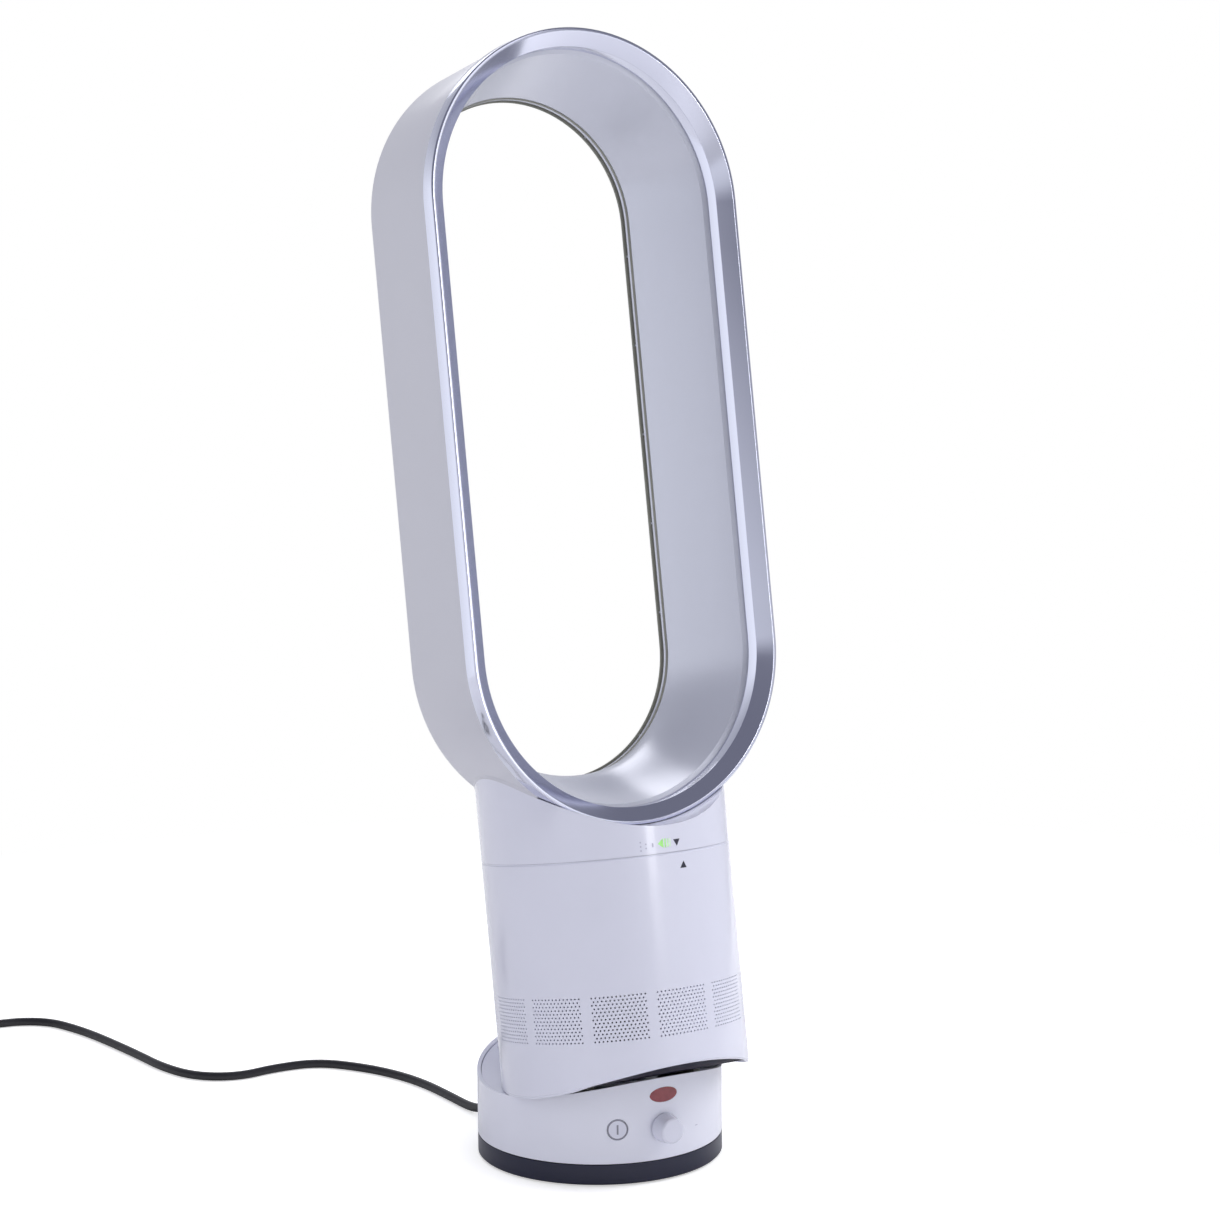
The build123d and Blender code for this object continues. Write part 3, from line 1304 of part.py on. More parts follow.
def nozzle_duct():
    """Inner skin of the loop: front flange, eased edge, curved wall and rear lip."""
    front = duct_front()
    front_radius = TRIM_INNER_RADIUS - DUCT_EDGE_STEP
    edge_radius = front_radius - DUCT_EDGE_STEP
    edge = front + DUCT_EDGE_WIDTH
    lip_radius = LOOP_INNER_RADIUS + SLOT_LIP_STEP
    wall_radius = lip_radius + SLOT_LIP_STEP
    back = slot_front()
    lip_front = back - SLOT_LIP_WIDTH
    flange_radius = casing_radius(front) - LOOP_WALL - SEAT_GAP
    visible = duct_curve(edge_radius, edge, wall_radius, lip_front)
    lip = Polyline(
        (wall_radius, lip_front),
        (lip_radius, lip_front + SLOT_LIP_STEP / 2),
        (lip_radius, back),
        (wall_radius + LOOP_WALL, back),
        (wall_radius + LOOP_WALL, lip_front),
    )
    flange_back = front + LOOP_WALL
    hidden = duct_curve(front_radius + LOOP_WALL, flange_back, wall_radius + LOOP_WALL, lip_front)
    flange = Polyline(
        (front_radius + LOOP_WALL, flange_back),
        (flange_radius, flange_back),
        (flange_radius, front),
        (front_radius, front),
        (edge_radius, edge),
    )
    return loop_sweep(closed_face(visible, lip, hidden, flange))


def front_trim():
    """Metal-look ring on the loop's front: band, rounded nose, chamfer and return wall."""
    nose = LOOP_FRONT
    chamfer_end = LOOP_FRONT + TRIM_CHAMFER_DEPTH
    return_end = chamfer_end + TRIM_RETURN
    wall = TRIM_WALL
    outer = TRIM_RADIUS
    inner = TRIM_INNER_RADIUS
    outline = FilletPolyline(
        (outer, TRIM_BACK),
        (outer, nose),
        (outer - TRIM_NOSE, nose),
        (inner, chamfer_end),
        (inner, return_end),
        (inner + wall, return_end),
        (inner + wall, chamfer_end + wall / 2),
        (outer - TRIM_NOSE, nose + wall),
        (outer - wall, nose + wall),
        (outer - wall, TRIM_BACK),
        radius=[TRIM_NOSE / 2, TRIM_NOSE / 3, wall / 4, 0.0, 0.0, 0.0, 0.0, 0.0],
    )
    closing = Line((outer - wall, TRIM_BACK), (outer, TRIM_BACK))
    return loop_sweep(closed_face(outline, closing))


def slot_spacers():
    """Small bridges that hold the air slot open, round both ends and up both sides."""
    low_radius = LOOP_INNER_RADIUS + SLOT_LIP_STEP + SLOT_SPACER_GAP
    high_radius = LOOP_INNER_RADIUS + 2 * SLOT_LIP_STEP + LOOP_WALL
    middle = (low_radius + high_radius) / 2
    depth = LOOP_BACK - REAR_WALL - SLOT_WIDTH / 2
    block = Pos(middle, depth, 0) * Box(high_radius - low_radius, SLOT_WIDTH, SLOT_SPACER_LENGTH)
    spacers = []
    for side in (0, 180):
        for index in range(SLOT_SPACERS_PER_SIDE):
            lift = (index - (SLOT_SPACERS_PER_SIDE - 1) / 2) * SLOT_SPACER_PITCH
            spacers.append(Pos(0, 0, LOOP_CENTRE + lift) * Rot(0, side, 0) * block)
    for centre, turn in ((LOOP_HIGH_CENTRE, -1), (LOOP_LOW_CENTRE, 1)):
        for index in range(SLOT_SPACERS_PER_END):
            angle = turn * 180.0 * (index + 1) / (SLOT_SPACERS_PER_END + 1)
            spacers.append(Pos(0, 0, centre) * Rot(0, angle, 0) * block)
    return spacers


# ---------------------------------------------------------------- writing the pieces
def pieces():
    """Every node of the fan with its solids, body by body."""
    foot = {
        "foot_plate": foot_plate(),
        "anti_slip_pad": anti_slip_pad(),
        "ballast_plate": ballast_plate(),
        "slide_ring": slide_ring(),
        "ring_gear": ring_gear(),
        "hub_retainer": hub_retainer(),
        "cord_gland": cord_gland(),
        "power_cord": cord_tube(cord_points(), "power cord"),
        "cord_coil": cord_coil(),
        "cord_tail": cord_tail(),
        "plug_body": plug_body(),
        "plug_pins": plug_pins(),
    }
    base = {
        "base_shell": base_shell(),
        "turntable": turntable(),
        "saddle_deck": saddle_deck(),
        "swivel_motor": swivel_motor(),
        "swivel_pinion": swivel_pinion(),
        "panel_bracket": panel_bracket(),
        "control_board": control_board(),
        "key_board": key_board(),
        "tact_switch": tact_switch(),
        "speed_encoder": speed_encoder(),
        "ir_receiver": ir_receiver(),
        "receiver_window": receiver_window(),
        "base_screws": base_screws(),
        "power_button": power_button(),
        "speed_knob": speed_knob(),
    }
    body = {
        "body_shell": body_shell(),
        "tilt_keel": tilt_keel(),
        "tilt_runners": tilt_runners(),
        "body_screws": body_screws(),
        "driver_board": driver_board(),
        "silencer_foam": silencer_foam(),
        "impeller_housing": impeller_housing(),
        "housing_seal": housing_seal(),
        "diffuser": diffuser(),
        "motor_bucket_lower": motor_bucket_lower(),
        "motor_bucket_upper": motor_bucket_upper(),
        "fan_motor": fan_motor(),
        "motor_isolator": motor_isolator(),
        "bayonet_socket": bayonet_socket(),
        "display_board": display_board(),
        "impeller": impeller(),
        "impeller_shaft": impeller_shaft(),
    }
    loop = {
        "collar_shell": collar_shell(),
        "bayonet_ring": bayonet_ring(),
        "spigot_seal": spigot_seal(),
        "nozzle_casing": nozzle_casing(),
        "nozzle_duct": nozzle_duct(),
        "front_trim": front_trim(),
        "slot_spacers": slot_spacers(),
    }
    upright = {**foot, **base}
    leaning = {**body, **loop}
    return upright, leaning


def solids_of(piece):
    """The separate solids of a piece, or of a list of pieces."""
    if isinstance(piece, (list, tuple)):
        found = []
        for each in piece:
            found += solids_of(each)
        return found
    return list(piece.solids())


def write_piece(name, solids):
    shape = solids[0] if len(solids) == 1 else Compound(children=solids)
    shape.label = name
    export_step(shape, os.path.join("parts", name + ".step"))


def main():
    os.makedirs("parts", exist_ok=True)
    upright, leaning = pieces()
    for name, piece in upright.items():
        write_piece(name, solids_of(piece))
    for name, piece in leaning.items():
        write_piece(name, [leant(solid) for solid in solids_of(piece)])


main()
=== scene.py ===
import json
import math

import bmesh
import bpy
from mathutils import Matrix, Vector
from mathutils.geometry import delaunay_2d_cdt


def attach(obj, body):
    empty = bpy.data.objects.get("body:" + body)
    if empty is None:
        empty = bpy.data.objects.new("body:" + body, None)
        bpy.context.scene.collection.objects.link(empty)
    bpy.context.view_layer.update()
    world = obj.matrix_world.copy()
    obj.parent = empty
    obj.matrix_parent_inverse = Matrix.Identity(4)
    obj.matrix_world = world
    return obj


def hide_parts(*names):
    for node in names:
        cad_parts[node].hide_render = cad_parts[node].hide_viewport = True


# Looks of the bladeless tower fan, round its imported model. Sizes and places are in millimetres,
# +Z up and front towards -Y, and become metres where a mesh or a curve is made. Azimuths are in
# degrees round Z, 0 at the front and positive towards +X. Body and loop are drawn upright and
# then leant back about the tilt pivot. The camera, the lights, the floor and the distances in
# the finishes are in metres.

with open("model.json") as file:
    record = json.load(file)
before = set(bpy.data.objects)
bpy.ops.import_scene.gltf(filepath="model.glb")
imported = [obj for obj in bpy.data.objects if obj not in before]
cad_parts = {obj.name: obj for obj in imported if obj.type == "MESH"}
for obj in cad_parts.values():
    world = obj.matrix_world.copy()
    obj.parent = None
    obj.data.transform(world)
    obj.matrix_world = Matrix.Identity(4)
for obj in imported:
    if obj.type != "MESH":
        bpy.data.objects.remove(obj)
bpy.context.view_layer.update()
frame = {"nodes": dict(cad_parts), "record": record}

MM = 0.001

# ---------------------------------------------------------------- driving sizes
BODY_RADIUS = 80.0
SHELL_WALL = 2.5
SEAT_GAP = 0.3
PIVOT = 263.0
SADDLE_LOW = 52.0
SADDLE_GAP = 1.6
LEAN = 9.2
SEAM = 200.0
SEAM_GAP = 0.8
EDGE_EASE = 0.5           # chamfer on the body's rims

# perforation: panels of fine holes round the body, angles in degrees
PANEL_COUNT = 12
PANEL_ANGLE = 25.2
PANEL_LOW = 87.5
PANEL_HIGH = 116.0
PANEL_COLUMNS = 14
PANEL_ROWS = 13
PATCH_HALF = 14           # half the angle of the sheet that holds one panel's holes
PATCH_LOW = 86.0
PATCH_HIGH = 117.5
HOLE_RADIUS = 0.6
HOLE_SIDES = 8

# lips of the body: inside the seam, and below the edge where it comes close to the deck
LIP_RECESS = 0.4
SEAM_LIP_WIDTH = 1.1
SEAM_LIP_ROOT = 0.8
SEAM_LIP_PROUD = 0.25
SIDE_LIP_FIRST = 44
SIDE_LIP_LAST = 136
SIDE_LIP_EASE = 12
SIDE_LIP_DROP = 1.15
SIDE_LIP_ROOT = 1.2

# loop: outlines are given as distance from its spine and depth along Y
LOOP_LIFT = 18.5          # seam to the underside of the loop's front
LOOP_STRAIGHT = 283.0
LOOP_FRONT = -53.9
LOOP_BACK = 45.0
LOOP_RADIUS = 110.4
LOOP_TAPER = 4.4
LOOP_INNER = 82.0
CASING_WALL = 2.2
CASING_ROUND = 5.0
REAR_WALL = 1.6
SLOT_WIDTH = 2.2
SHADE_SKIN = 0.06         # painted-shade sheets: how far they stand off the surface they cover
SHADE_REACH = 6.0
SHADE_STOP = 0.5
STEP_SHADE = [(0.9, 0.1), (1.4, -1.1), (2.2, -1.0), (2.2, 0.2)]
TRIM_PROUD = 0.5
TRIM_WALL = 1.5
TRIM_BAND = 12.0
TRIM_NOSE = 2.4
TRIM_FACE_WIDTH = 10.5
TRIM_CHAMFER_DEPTH = 7.0
TRIM_RETURN = 9.9
DUCT_EDGE_STEP = 1.0
DUCT_EDGE_WIDTH = 3.5
DUCT_BULGE = 1.2
DUCT_SWELL = 6.4          # rise of the duct's bottom, greatest behind its middle
SWELL_LATENESS = 2.2      # above 1, the greatest rise moves back
DUCT_LIP = 2.8
DUCT_LIP_STEP = 0.8

# cord
CORD_RADIUS = 3.0
GLAND_HEIGHT = 8.0
GLAND_X = -31.0
GLAND_BACK = 88.249
GLAND_LEAD = 10.0
COIL_LEAD = 30.0
COIL_START = Vector((-293.0, 509.0, 0))
COIL_HEADING = 170.0
COIL_RADIUS = 42.3
COIL_PITCH = 6.6
COIL_INWARD_HALF_TURNS = 5
COIL_OUTWARD_HALF_TURNS = 4
TAIL_LEVEL = 24.0
TAIL_DROP = 26.0
TAIL_END = 16.0
PLUG_THICKNESS = 13.7

# ---------------------------------------------------------------- derived sizes
BODY_BORE = BODY_RADIUS - SHELL_WALL
BODY_ARC = PIVOT - SADDLE_LOW - SADDLE_GAP
BODY_TOP = SEAM - SEAM_GAP / 2
LOW_CENTRE = SEAM + LOOP_LIFT + LOOP_RADIUS
HIGH_CENTRE = LOW_CENTRE + LOOP_STRAIGHT
CASING_BACK = LOOP_RADIUS - LOOP_TAPER
TRIM_BACK = LOOP_FRONT + TRIM_BAND
TRIM_RADIUS = LOOP_RADIUS + TRIM_PROUD
TRIM_INNER = LOOP_RADIUS - TRIM_FACE_WIDTH
CHAMFER_END = LOOP_FRONT + TRIM_CHAMFER_DEPTH
RETURN_END = CHAMFER_END + TRIM_RETURN
REAR_INSIDE = LOOP_BACK - REAR_WALL
DUCT_BACK = REAR_INSIDE - SLOT_WIDTH
LIP_FRONT = DUCT_BACK - DUCT_LIP
LEANT = (
    Matrix.Translation((0, 0, PIVOT * MM))
    @ Matrix.Rotation(math.radians(-LEAN), 4, "X")
    @ Matrix.Translation((0, 0, -PIVOT * MM))
)


# ---------------------------------------------------------------- camera
CAMERA_AZIMUTH = -30.723
CAMERA_ELEVATION = 7.576
CAMERA_ROLL = -0.5216
CAMERA_PLACE = (-0.97810, -1.66468, 0.61316)
CAMERA_LENS = 89.62
CAMERA_SENSOR = 36


def make_camera():
    """The photograph's viewpoint, solved from the outlines of the base, the seam and the loop."""
    azimuth = math.radians(CAMERA_AZIMUTH)
    elevation = math.radians(CAMERA_ELEVATION)
    roll = math.radians(CAMERA_ROLL)
    back = Vector(
        (
            math.sin(azimuth) * math.cos(elevation),
            -math.cos(azimuth) * math.cos(elevation),
            math.sin(elevation),
        )
    )
    right = Vector((math.cos(azimuth), math.sin(azimuth), 0))
    up = back.cross(right)
    across = right * math.cos(roll) + up * math.sin(roll)
    upwards = up * math.cos(roll) - right * math.sin(roll)
    data = bpy.data.cameras.new("camera")
    data.sensor_width = CAMERA_SENSOR
    data.lens = CAMERA_LENS
    data.clip_start = 0.05
    data.clip_end = 60
    camera = bpy.data.objects.new("camera", data)
    turn = Matrix((across, upwards, back)).transposed().to_4x4()
    camera.matrix_world = Matrix.Translation(CAMERA_PLACE) @ turn
    bpy.context.scene.collection.objects.link(camera)
    bpy.context.scene.camera = camera


# ---------------------------------------------------------------- shader helpers
def srgb(red, green, blue):
    """A colour as it reads on screen, 0 to 255, in Blender's linear values."""
    linear = []
    for value in (red, green, blue):
        share = value / 255
        linear.append(share / 12.92 if share <= 0.04045 else ((share + 0.055) / 1.055) ** 2.4)
    return (*linear, 1.0)


def shade(colour, factor):
    return (*(min(1.0, value * factor) for value in colour[:3]), 1.0)


def nodes_of(name):
    material = bpy.data.materials.new(name)
    material.use_nodes = True
    tree = material.node_tree
    shader = next(node for node in tree.nodes if node.type == "BSDF_PRINCIPLED")
    return material, tree, shader


def noise_node(tree, coordinates, scale, detail=3.0, stretch=None):
    noise = tree.nodes.new("ShaderNodeTexNoise")
    noise.inputs["Scale"].default_value = scale
    noise.inputs["Detail"].default_value = detail
    if stretch is None:
        tree.links.new(coordinates.outputs["Object"], noise.inputs["Vector"])
        return noise
    mapping = tree.nodes.new("ShaderNodeMapping")
    mapping.inputs["Scale"].default_value = stretch
    tree.links.new(coordinates.outputs["Object"], mapping.inputs["Vector"])
    tree.links.new(mapping.outputs["Vector"], noise.inputs["Vector"])
    return noise


NOISE_LOW = 0.3           # the middle range of a noise, where most of its values lie
NOISE_HIGH = 0.7


def tint_node(tree, noise, low, high):
    """Two colours mixed by the middle range of a noise."""
    ramp = tree.nodes.new("ShaderNodeValToRGB")
    ramp.color_ramp.elements[0].position = NOISE_LOW
    ramp.color_ramp.elements[0].color = low
    ramp.color_ramp.elements[1].position = NOISE_HIGH
    ramp.color_ramp.elements[1].color = high
    tree.links.new(noise.outputs["Fac"], ramp.inputs["Fac"])
    return ramp


def range_node(tree, value, start, end, low=0.0, high=1.0):
    """Low to high as a value goes from start to end, and no further."""
    node = tree.nodes.new("ShaderNodeMapRange")
    node.inputs["From Min"].default_value = start
    node.inputs["From Max"].default_value = end
    node.inputs["To Min"].default_value = low
    node.inputs["To Max"].default_value = high
    tree.links.new(value, node.inputs["Value"])
    return node.outputs["Result"]


def math_node(tree, operation, first, second):
    """Two sockets, or a socket and a number, put together."""
    node = tree.nodes.new("ShaderNodeMath")
    node.operation = operation
    tree.links.new(first, node.inputs[0])
    if isinstance(second, float):
        node.inputs[1].default_value = second
    else:
        tree.links.new(second, node.inputs[1])
    return node.outputs["Value"]


def mix_shaders(tree, share, first, second):
    mix = tree.nodes.new("ShaderNodeMixShader")
    tree.links.new(share, mix.inputs["Fac"])
    tree.links.new(first, mix.inputs[1])
    tree.links.new(second, mix.inputs[2])
    return mix.outputs["Shader"]


# ---------------------------------------------------------------- materials
GRAIN_HEIGHT = 0.0005


def surface(
    name,
    colour,
    roughness,
    metallic=0.0,
    spread=0.03,
    rough_spread=0.04,
    cloud=18.0,
    grain=900.0,
    grain_depth=0.004,
    stretch=None,
    coat=0.0,
    coat_roughness=0.08,
    edge=0.0,
    specular=0.5,
    translucent=0.0,
):
    """A plastic, rubber or metal with clouded colour, uneven gloss and a fine grain."""
    material, tree, shader = nodes_of(name)
    coordinates = tree.nodes.new("ShaderNodeTexCoord")
    clouds = noise_node(tree, coordinates, cloud, 3.0, stretch)
    tint = tint_node(tree, clouds, shade(colour, 1 - spread), shade(colour, 1 + spread))
    tree.links.new(tint.outputs["Color"], shader.inputs["Base Color"])
    gloss = noise_node(tree, coordinates, cloud * 6, 4.0, stretch)
    smoothest = max(0.0, roughness - rough_spread)
    roughest = roughness + rough_spread
    uneven = range_node(tree, gloss.outputs["Fac"], NOISE_LOW, NOISE_HIGH, smoothest, roughest)
    tree.links.new(uneven, shader.inputs["Roughness"])
    bump = tree.nodes.new("ShaderNodeBump")
    bump.inputs["Strength"].default_value = grain_depth
    bump.inputs["Distance"].default_value = GRAIN_HEIGHT
    fine = noise_node(tree, coordinates, grain, 2.0, stretch)
    tree.links.new(fine.outputs["Fac"], bump.inputs["Height"])
    if edge > 0:
        rounding = tree.nodes.new("ShaderNodeBevel")
        rounding.samples = 4
        rounding.inputs["Radius"].default_value = edge
        tree.links.new(rounding.outputs["Normal"], bump.inputs["Normal"])
    tree.links.new(bump.outputs["Normal"], shader.inputs["Normal"])
    shader.inputs["Metallic"].default_value = metallic
    shader.inputs["Specular IOR Level"].default_value = specular
    shader.inputs["Coat Weight"].default_value = coat
    shader.inputs["Coat Roughness"].default_value = coat_roughness
    if translucent > 0:
        shader.inputs["Subsurface Weight"].default_value = translucent
        shader.inputs["Subsurface Radius"].default_value = (0.004, 0.004, 0.005)
        shader.inputs["Subsurface Scale"].default_value = 0.5
    return material


def glowing(name, colour, strength):
    """A lit digit behind its film."""
    material, tree, shader = nodes_of(name)
    coordinates = tree.nodes.new("ShaderNodeTexCoord")
    clouds = noise_node(tree, coordinates, 600.0)
    tint = tint_node(tree, clouds, shade(colour, 0.85), shade(colour, 1.1))
    tree.links.new(tint.outputs["Color"], shader.inputs["Base Color"])
    tree.links.new(tint.outputs["Color"], shader.inputs["Emission Color"])
    shader.inputs["Emission Strength"].default_value = strength
    shader.inputs["Roughness"].default_value = 0.3
    return material


WHITE = srgb(226, 227, 243)
MATERIALS = {
    "foot_charcoal": surface(
        "charcoal_moulding", srgb(36, 38, 60), 0.3,
        spread=0.02, rough_spread=0.01, grain_depth=0.03, specular=0.4, edge=0.0006,
    ),
    "pad_rubber": surface("pad_rubber", srgb(40, 40, 44), 0.8, spread=0.1, grain_depth=0.3),
    "ballast_steel": surface(
        "plated_steel", srgb(150, 152, 156), 0.35, 1.0, 0.08, stretch=(1, 1, 9)
    ),
    "acetal": surface("acetal", srgb(228, 226, 216), 0.45, specular=0.4, translucent=0.1),
    "bright_steel": surface(
        "ground_steel", srgb(196, 198, 202), 0.22, 1.0, 0.05, stretch=(1, 1, 12)
    ),
    "cord_black": surface(
        "cord_sheath", srgb(33, 32, 37), 0.42, spread=0.12, grain_depth=0.12, cloud=60
    ),
    "plug_nickel": surface("nickel", srgb(205, 202, 194), 0.18, 1.0, 0.05),
    "white_gloss": surface("white_moulding", WHITE, 0.2, spread=0.012, coat=0.35, edge=0.0008),
    "duct_silver": surface(
        "satin_silver", srgb(207, 209, 222), 0.26, 0.4, 0.005,
        rough_spread=0.0, cloud=3, grain_depth=0.0, coat=0.3, coat_roughness=0.2,
    ),
    "trim_silver": surface(
        "metallic_trim", srgb(212, 214, 230), 0.14, 1.0, 0.01,
        rough_spread=0.01, cloud=8, grain_depth=0.001,
    ),
    "deck_black": surface(
        "black_keel", srgb(19, 17, 34), 0.5, spread=0.1, grain_depth=0.02, specular=0.03
    ),
    "inner_grey": surface("grey_moulding", srgb(150, 153, 160), 0.5, spread=0.05, edge=0.0004),
    "board_green": surface("solder_resist", srgb(28, 92, 52), 0.35, spread=0.25, cloud=220),
    "switch_black": surface("component_black", srgb(38, 38, 42), 0.45, spread=0.1),
    "motor_steel": surface("motor_can", srgb(168, 170, 176), 0.33, 1.0, 0.08, stretch=(1, 1, 8)),
    "screw_steel": surface("zinc_screw", srgb(178, 178, 182), 0.3, 1.0, 0.08),
    "window_red": surface("red_window", srgb(146, 60, 68), 0.16, spread=0.14, cloud=260, coat=0.4),
    "foam_grey": surface("foam", srgb(70, 70, 75), 0.95, spread=0.3, cloud=320, grain_depth=0.9),
    "seal_rubber": surface("soft_seal", srgb(48, 48, 52), 0.75, spread=0.1, grain_depth=0.2),
    "rotor_nylon": surface("glass_nylon", srgb(72, 73, 78), 0.5, spread=0.12, cloud=120),
    "housing_black": surface("black_housing", srgb(46, 46, 51), 0.45, spread=0.1),
    "display_film": surface("display_film", srgb(40, 96, 66), 0.3, spread=0.2, cloud=200),
}
CASING_WHITE = surface(
    "casing_white", srgb(205, 205, 216), 0.32,
    spread=0.008, rough_spread=0.015, cloud=4, grain_depth=0.001, coat=0.1,
)
# Painted shade: a dark grey for the sheets laid where the air slot and the duct's lip step fall into shade.
SLOT_PAINTED_SHADE = surface("slot_painted_shade", srgb(152, 152, 142), 0.6, spread=0.1, specular=0.1)
BODY_WHITE = surface("body_white", WHITE, 0.2, spread=0.012, coat=0.35)
# Painted light: the white made lighter for the base and deck, which stand upright and catch less of the
# overhead lamp than the leant body.
BASE_WHITE_PAINTED_LIGHT = surface(
    "base_white_painted_light", srgb(237, 238, 252), 0.22, spread=0.01, coat=0.3, edge=0.0005
)
MARK_BLACK = surface("mark_ink", srgb(42, 40, 58), 0.5, spread=0.1)
MARK_GREY = surface("mark_grey", srgb(142, 141, 156), 0.5, spread=0.1)
MARK_PALE = surface("mark_pale", srgb(188, 187, 208), 0.5, spread=0.05)
LIT_GREEN = glowing("lit_green", srgb(150, 214, 120), 0.35)
LIT_STEPS = [
    glowing("lit_near", srgb(160, 218, 136), 0.3),
    glowing("lit_mid", srgb(186, 226, 172), 0.25),
    glowing("lit_far", srgb(206, 228, 204), 0.2),
]
NODE_FINISHES = {"base_shell": BASE_WHITE_PAINTED_LIGHT, "saddle_deck": BASE_WHITE_PAINTED_LIGHT}


def dress_nodes():
    """Every CAD node takes the finish of its slot, or its own."""
    for part in frame["record"]["subparts"]:
        node = frame["nodes"][part["node"]]
        finish = NODE_FINISHES.get(part["node"], MATERIALS[part["material_slot"]])
        if not node.material_slots:
            node.data.materials.append(finish)
        for place in node.material_slots:
            place.material = finish


# ---------------------------------------------------------------- mesh helpers
def link(name, data, slot, body, matrix=None, material=None):
    """A new piece that rides on a body, with its slot's finish or its own."""
    piece = bpy.data.objects.new(name, data)
    data.materials.append(material or MATERIALS[slot])
    if matrix is not None:
        data.transform(matrix)
    bpy.context.scene.collection.objects.link(piece)
    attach(piece, body)
    return piece


def mesh_of(name, points, faces, sharp=32.0):
    """A shaded mesh from points in millimetres, with edges above the sharp angle kept crisp."""
    data = bpy.data.meshes.new(name)
    data.from_pydata([Vector(point) * MM for point in points], [], faces)
    work = bmesh.new()
    work.from_mesh(data)
    bmesh.ops.remove_doubles(work, verts=work.verts, dist=1e-6)
    bmesh.ops.recalc_face_normals(work, faces=work.faces)
    work.to_mesh(data)
    work.free()
    data.shade_smooth()
    data.set_sharp_from_angle(angle=math.radians(sharp))
    return data


def strip_faces(rows, count, closed):
    """Quads from each row of points to the next, with caps where the strip has ends."""
    faces = []
    for row in range(rows if closed else rows - 1):
        here = row * count
        there = (row + 1) % rows * count
        for index in range(count):
            other = (index + 1) % count
            faces.append((here + index, here + other, there + other, there + index))
    if not closed:
        last = (rows - 1) * count
        faces += [tuple(range(count)), tuple(last + index for index in range(count))]
    return faces


def rounded(corners, steps=5):
    """Points along an outline of (x, y, radius) corners, with arcs at the corners."""
    outline = []
    count = len(corners)
    for index, (x, y, radius) in enumerate(corners):
        here = Vector((x, y))
        if radius <= 0:
            outline.append((x, y))
            continue
        before = (Vector(corners[index - 1][:2]) - here).normalized()
        after = (Vector(corners[(index + 1) % count][:2]) - here).normalized()
        half = before.angle(after) / 2
        reach = radius / math.tan(half)
        middle = here + (before + after).normalized() * radius / math.sin(half)
        start = here + before * reach - middle
        end = here + after * reach - middle
        sweep = start.angle_signed(end)
        for step in range(steps + 1):
            turn = Matrix.Rotation(-sweep * step / steps, 2)
            outline.append(tuple(middle + turn @ start))
    return outline


def arc_through(start, middle, end, steps):
    """Points on the circle through three points, both ends included."""
    ax, ay = start
    bx, by = middle
    cx, cy = end
    twice = 2 * (ax * (by - cy) + bx * (cy - ay) + cx * (ay - by))
    first = ax * ax + ay * ay
    second = bx * bx + by * by
    third = cx * cx + cy * cy
    centre = Vector(
        (
            (first * (by - cy) + second * (cy - ay) + third * (ay - by)) / twice,
            (first * (cx - bx) + second * (ax - cx) + third * (bx - ax)) / twice,
        )
    )
    begin = Vector(start) - centre
    sweep = begin.angle_signed(Vector(end) - centre)
    turns = [Matrix.Rotation(-sweep * step / steps, 2) for step in range(steps + 1)]
    return [tuple(centre + turn @ begin) for turn in turns]


def on_cylinder(azimuth, height, radius):
    angle = math.radians(azimuth)
    return (radius * math.sin(angle), -radius * math.cos(angle), height)


def saddle_height(azimuth, radius, arc):
    """Height at which a cylinder round the body's axis meets an arc about the tilt pivot."""
    depth = radius * math.cos(math.radians(azimuth))
    return PIVOT - math.sqrt(arc * arc - depth * depth)


# ---------------------------------------------------------------- loop
ARC_STEPS = 72
SIDE_STEPS = 10


def stadium_sections():
    """Directions and centres round the loop: (cos, sin, centre height)."""
    rise = HIGH_CENTRE - LOW_CENTRE
    sections = [(1.0, 0.0, LOW_CENTRE + rise * step / SIDE_STEPS) for step in range(SIDE_STEPS)]
    for step in range(ARC_STEPS):
        angle = math.pi * step / ARC_STEPS
        sections.append((math.cos(angle), math.sin(angle), HIGH_CENTRE))
    sections += [(-1.0, 0.0, HIGH_CENTRE - rise * step / SIDE_STEPS) for step in range(SIDE_STEPS)]
    for step in range(ARC_STEPS):
        angle = math.pi + math.pi * step / ARC_STEPS
        sections.append((math.cos(angle), math.sin(angle), LOW_CENTRE))
    return sections


def loop_piece(name, profile, slot, sharp, material=None, swell=None):
    """Carry a closed outline round the loop. A swell pulls it inwards towards the bottom."""
    sections = stadium_sections()
    points = []
    for across, upwards, centre in sections:
        low = max(0.0, -upwards)
        for radius, depth in profile:
            inward = swell(depth) * low * low * low if swell else 0.0
            reach = radius - inward
            points.append((reach * across, depth, centre + reach * upwards))
    faces = strip_faces(len(sections), len(profile), True)
    return link(name, mesh_of(name, points, faces, sharp), slot, "nozzle", LEANT, material)


def casing_radius(depth):
    return LOOP_RADIUS - (depth - LOOP_FRONT) / (LOOP_BACK - LOOP_FRONT) * LOOP_TAPER


def make_casing():
    front = TRIM_BACK + SEAT_GAP
    profile = rounded(
        [
            (casing_radius(front), front, 0.25),
            (CASING_BACK, LOOP_BACK, CASING_ROUND),
            (LOOP_INNER, LOOP_BACK, 0.4),
            (LOOP_INNER, REAR_INSIDE, 0.1),
            (CASING_BACK - CASING_WALL, REAR_INSIDE, CASING_ROUND - CASING_WALL),
            (casing_radius(front) - CASING_WALL, front, 0.0),
        ]
    )
    piece = loop_piece("loop_casing", profile, "white_gloss", 40, CASING_WHITE)
    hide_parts("nozzle_casing")


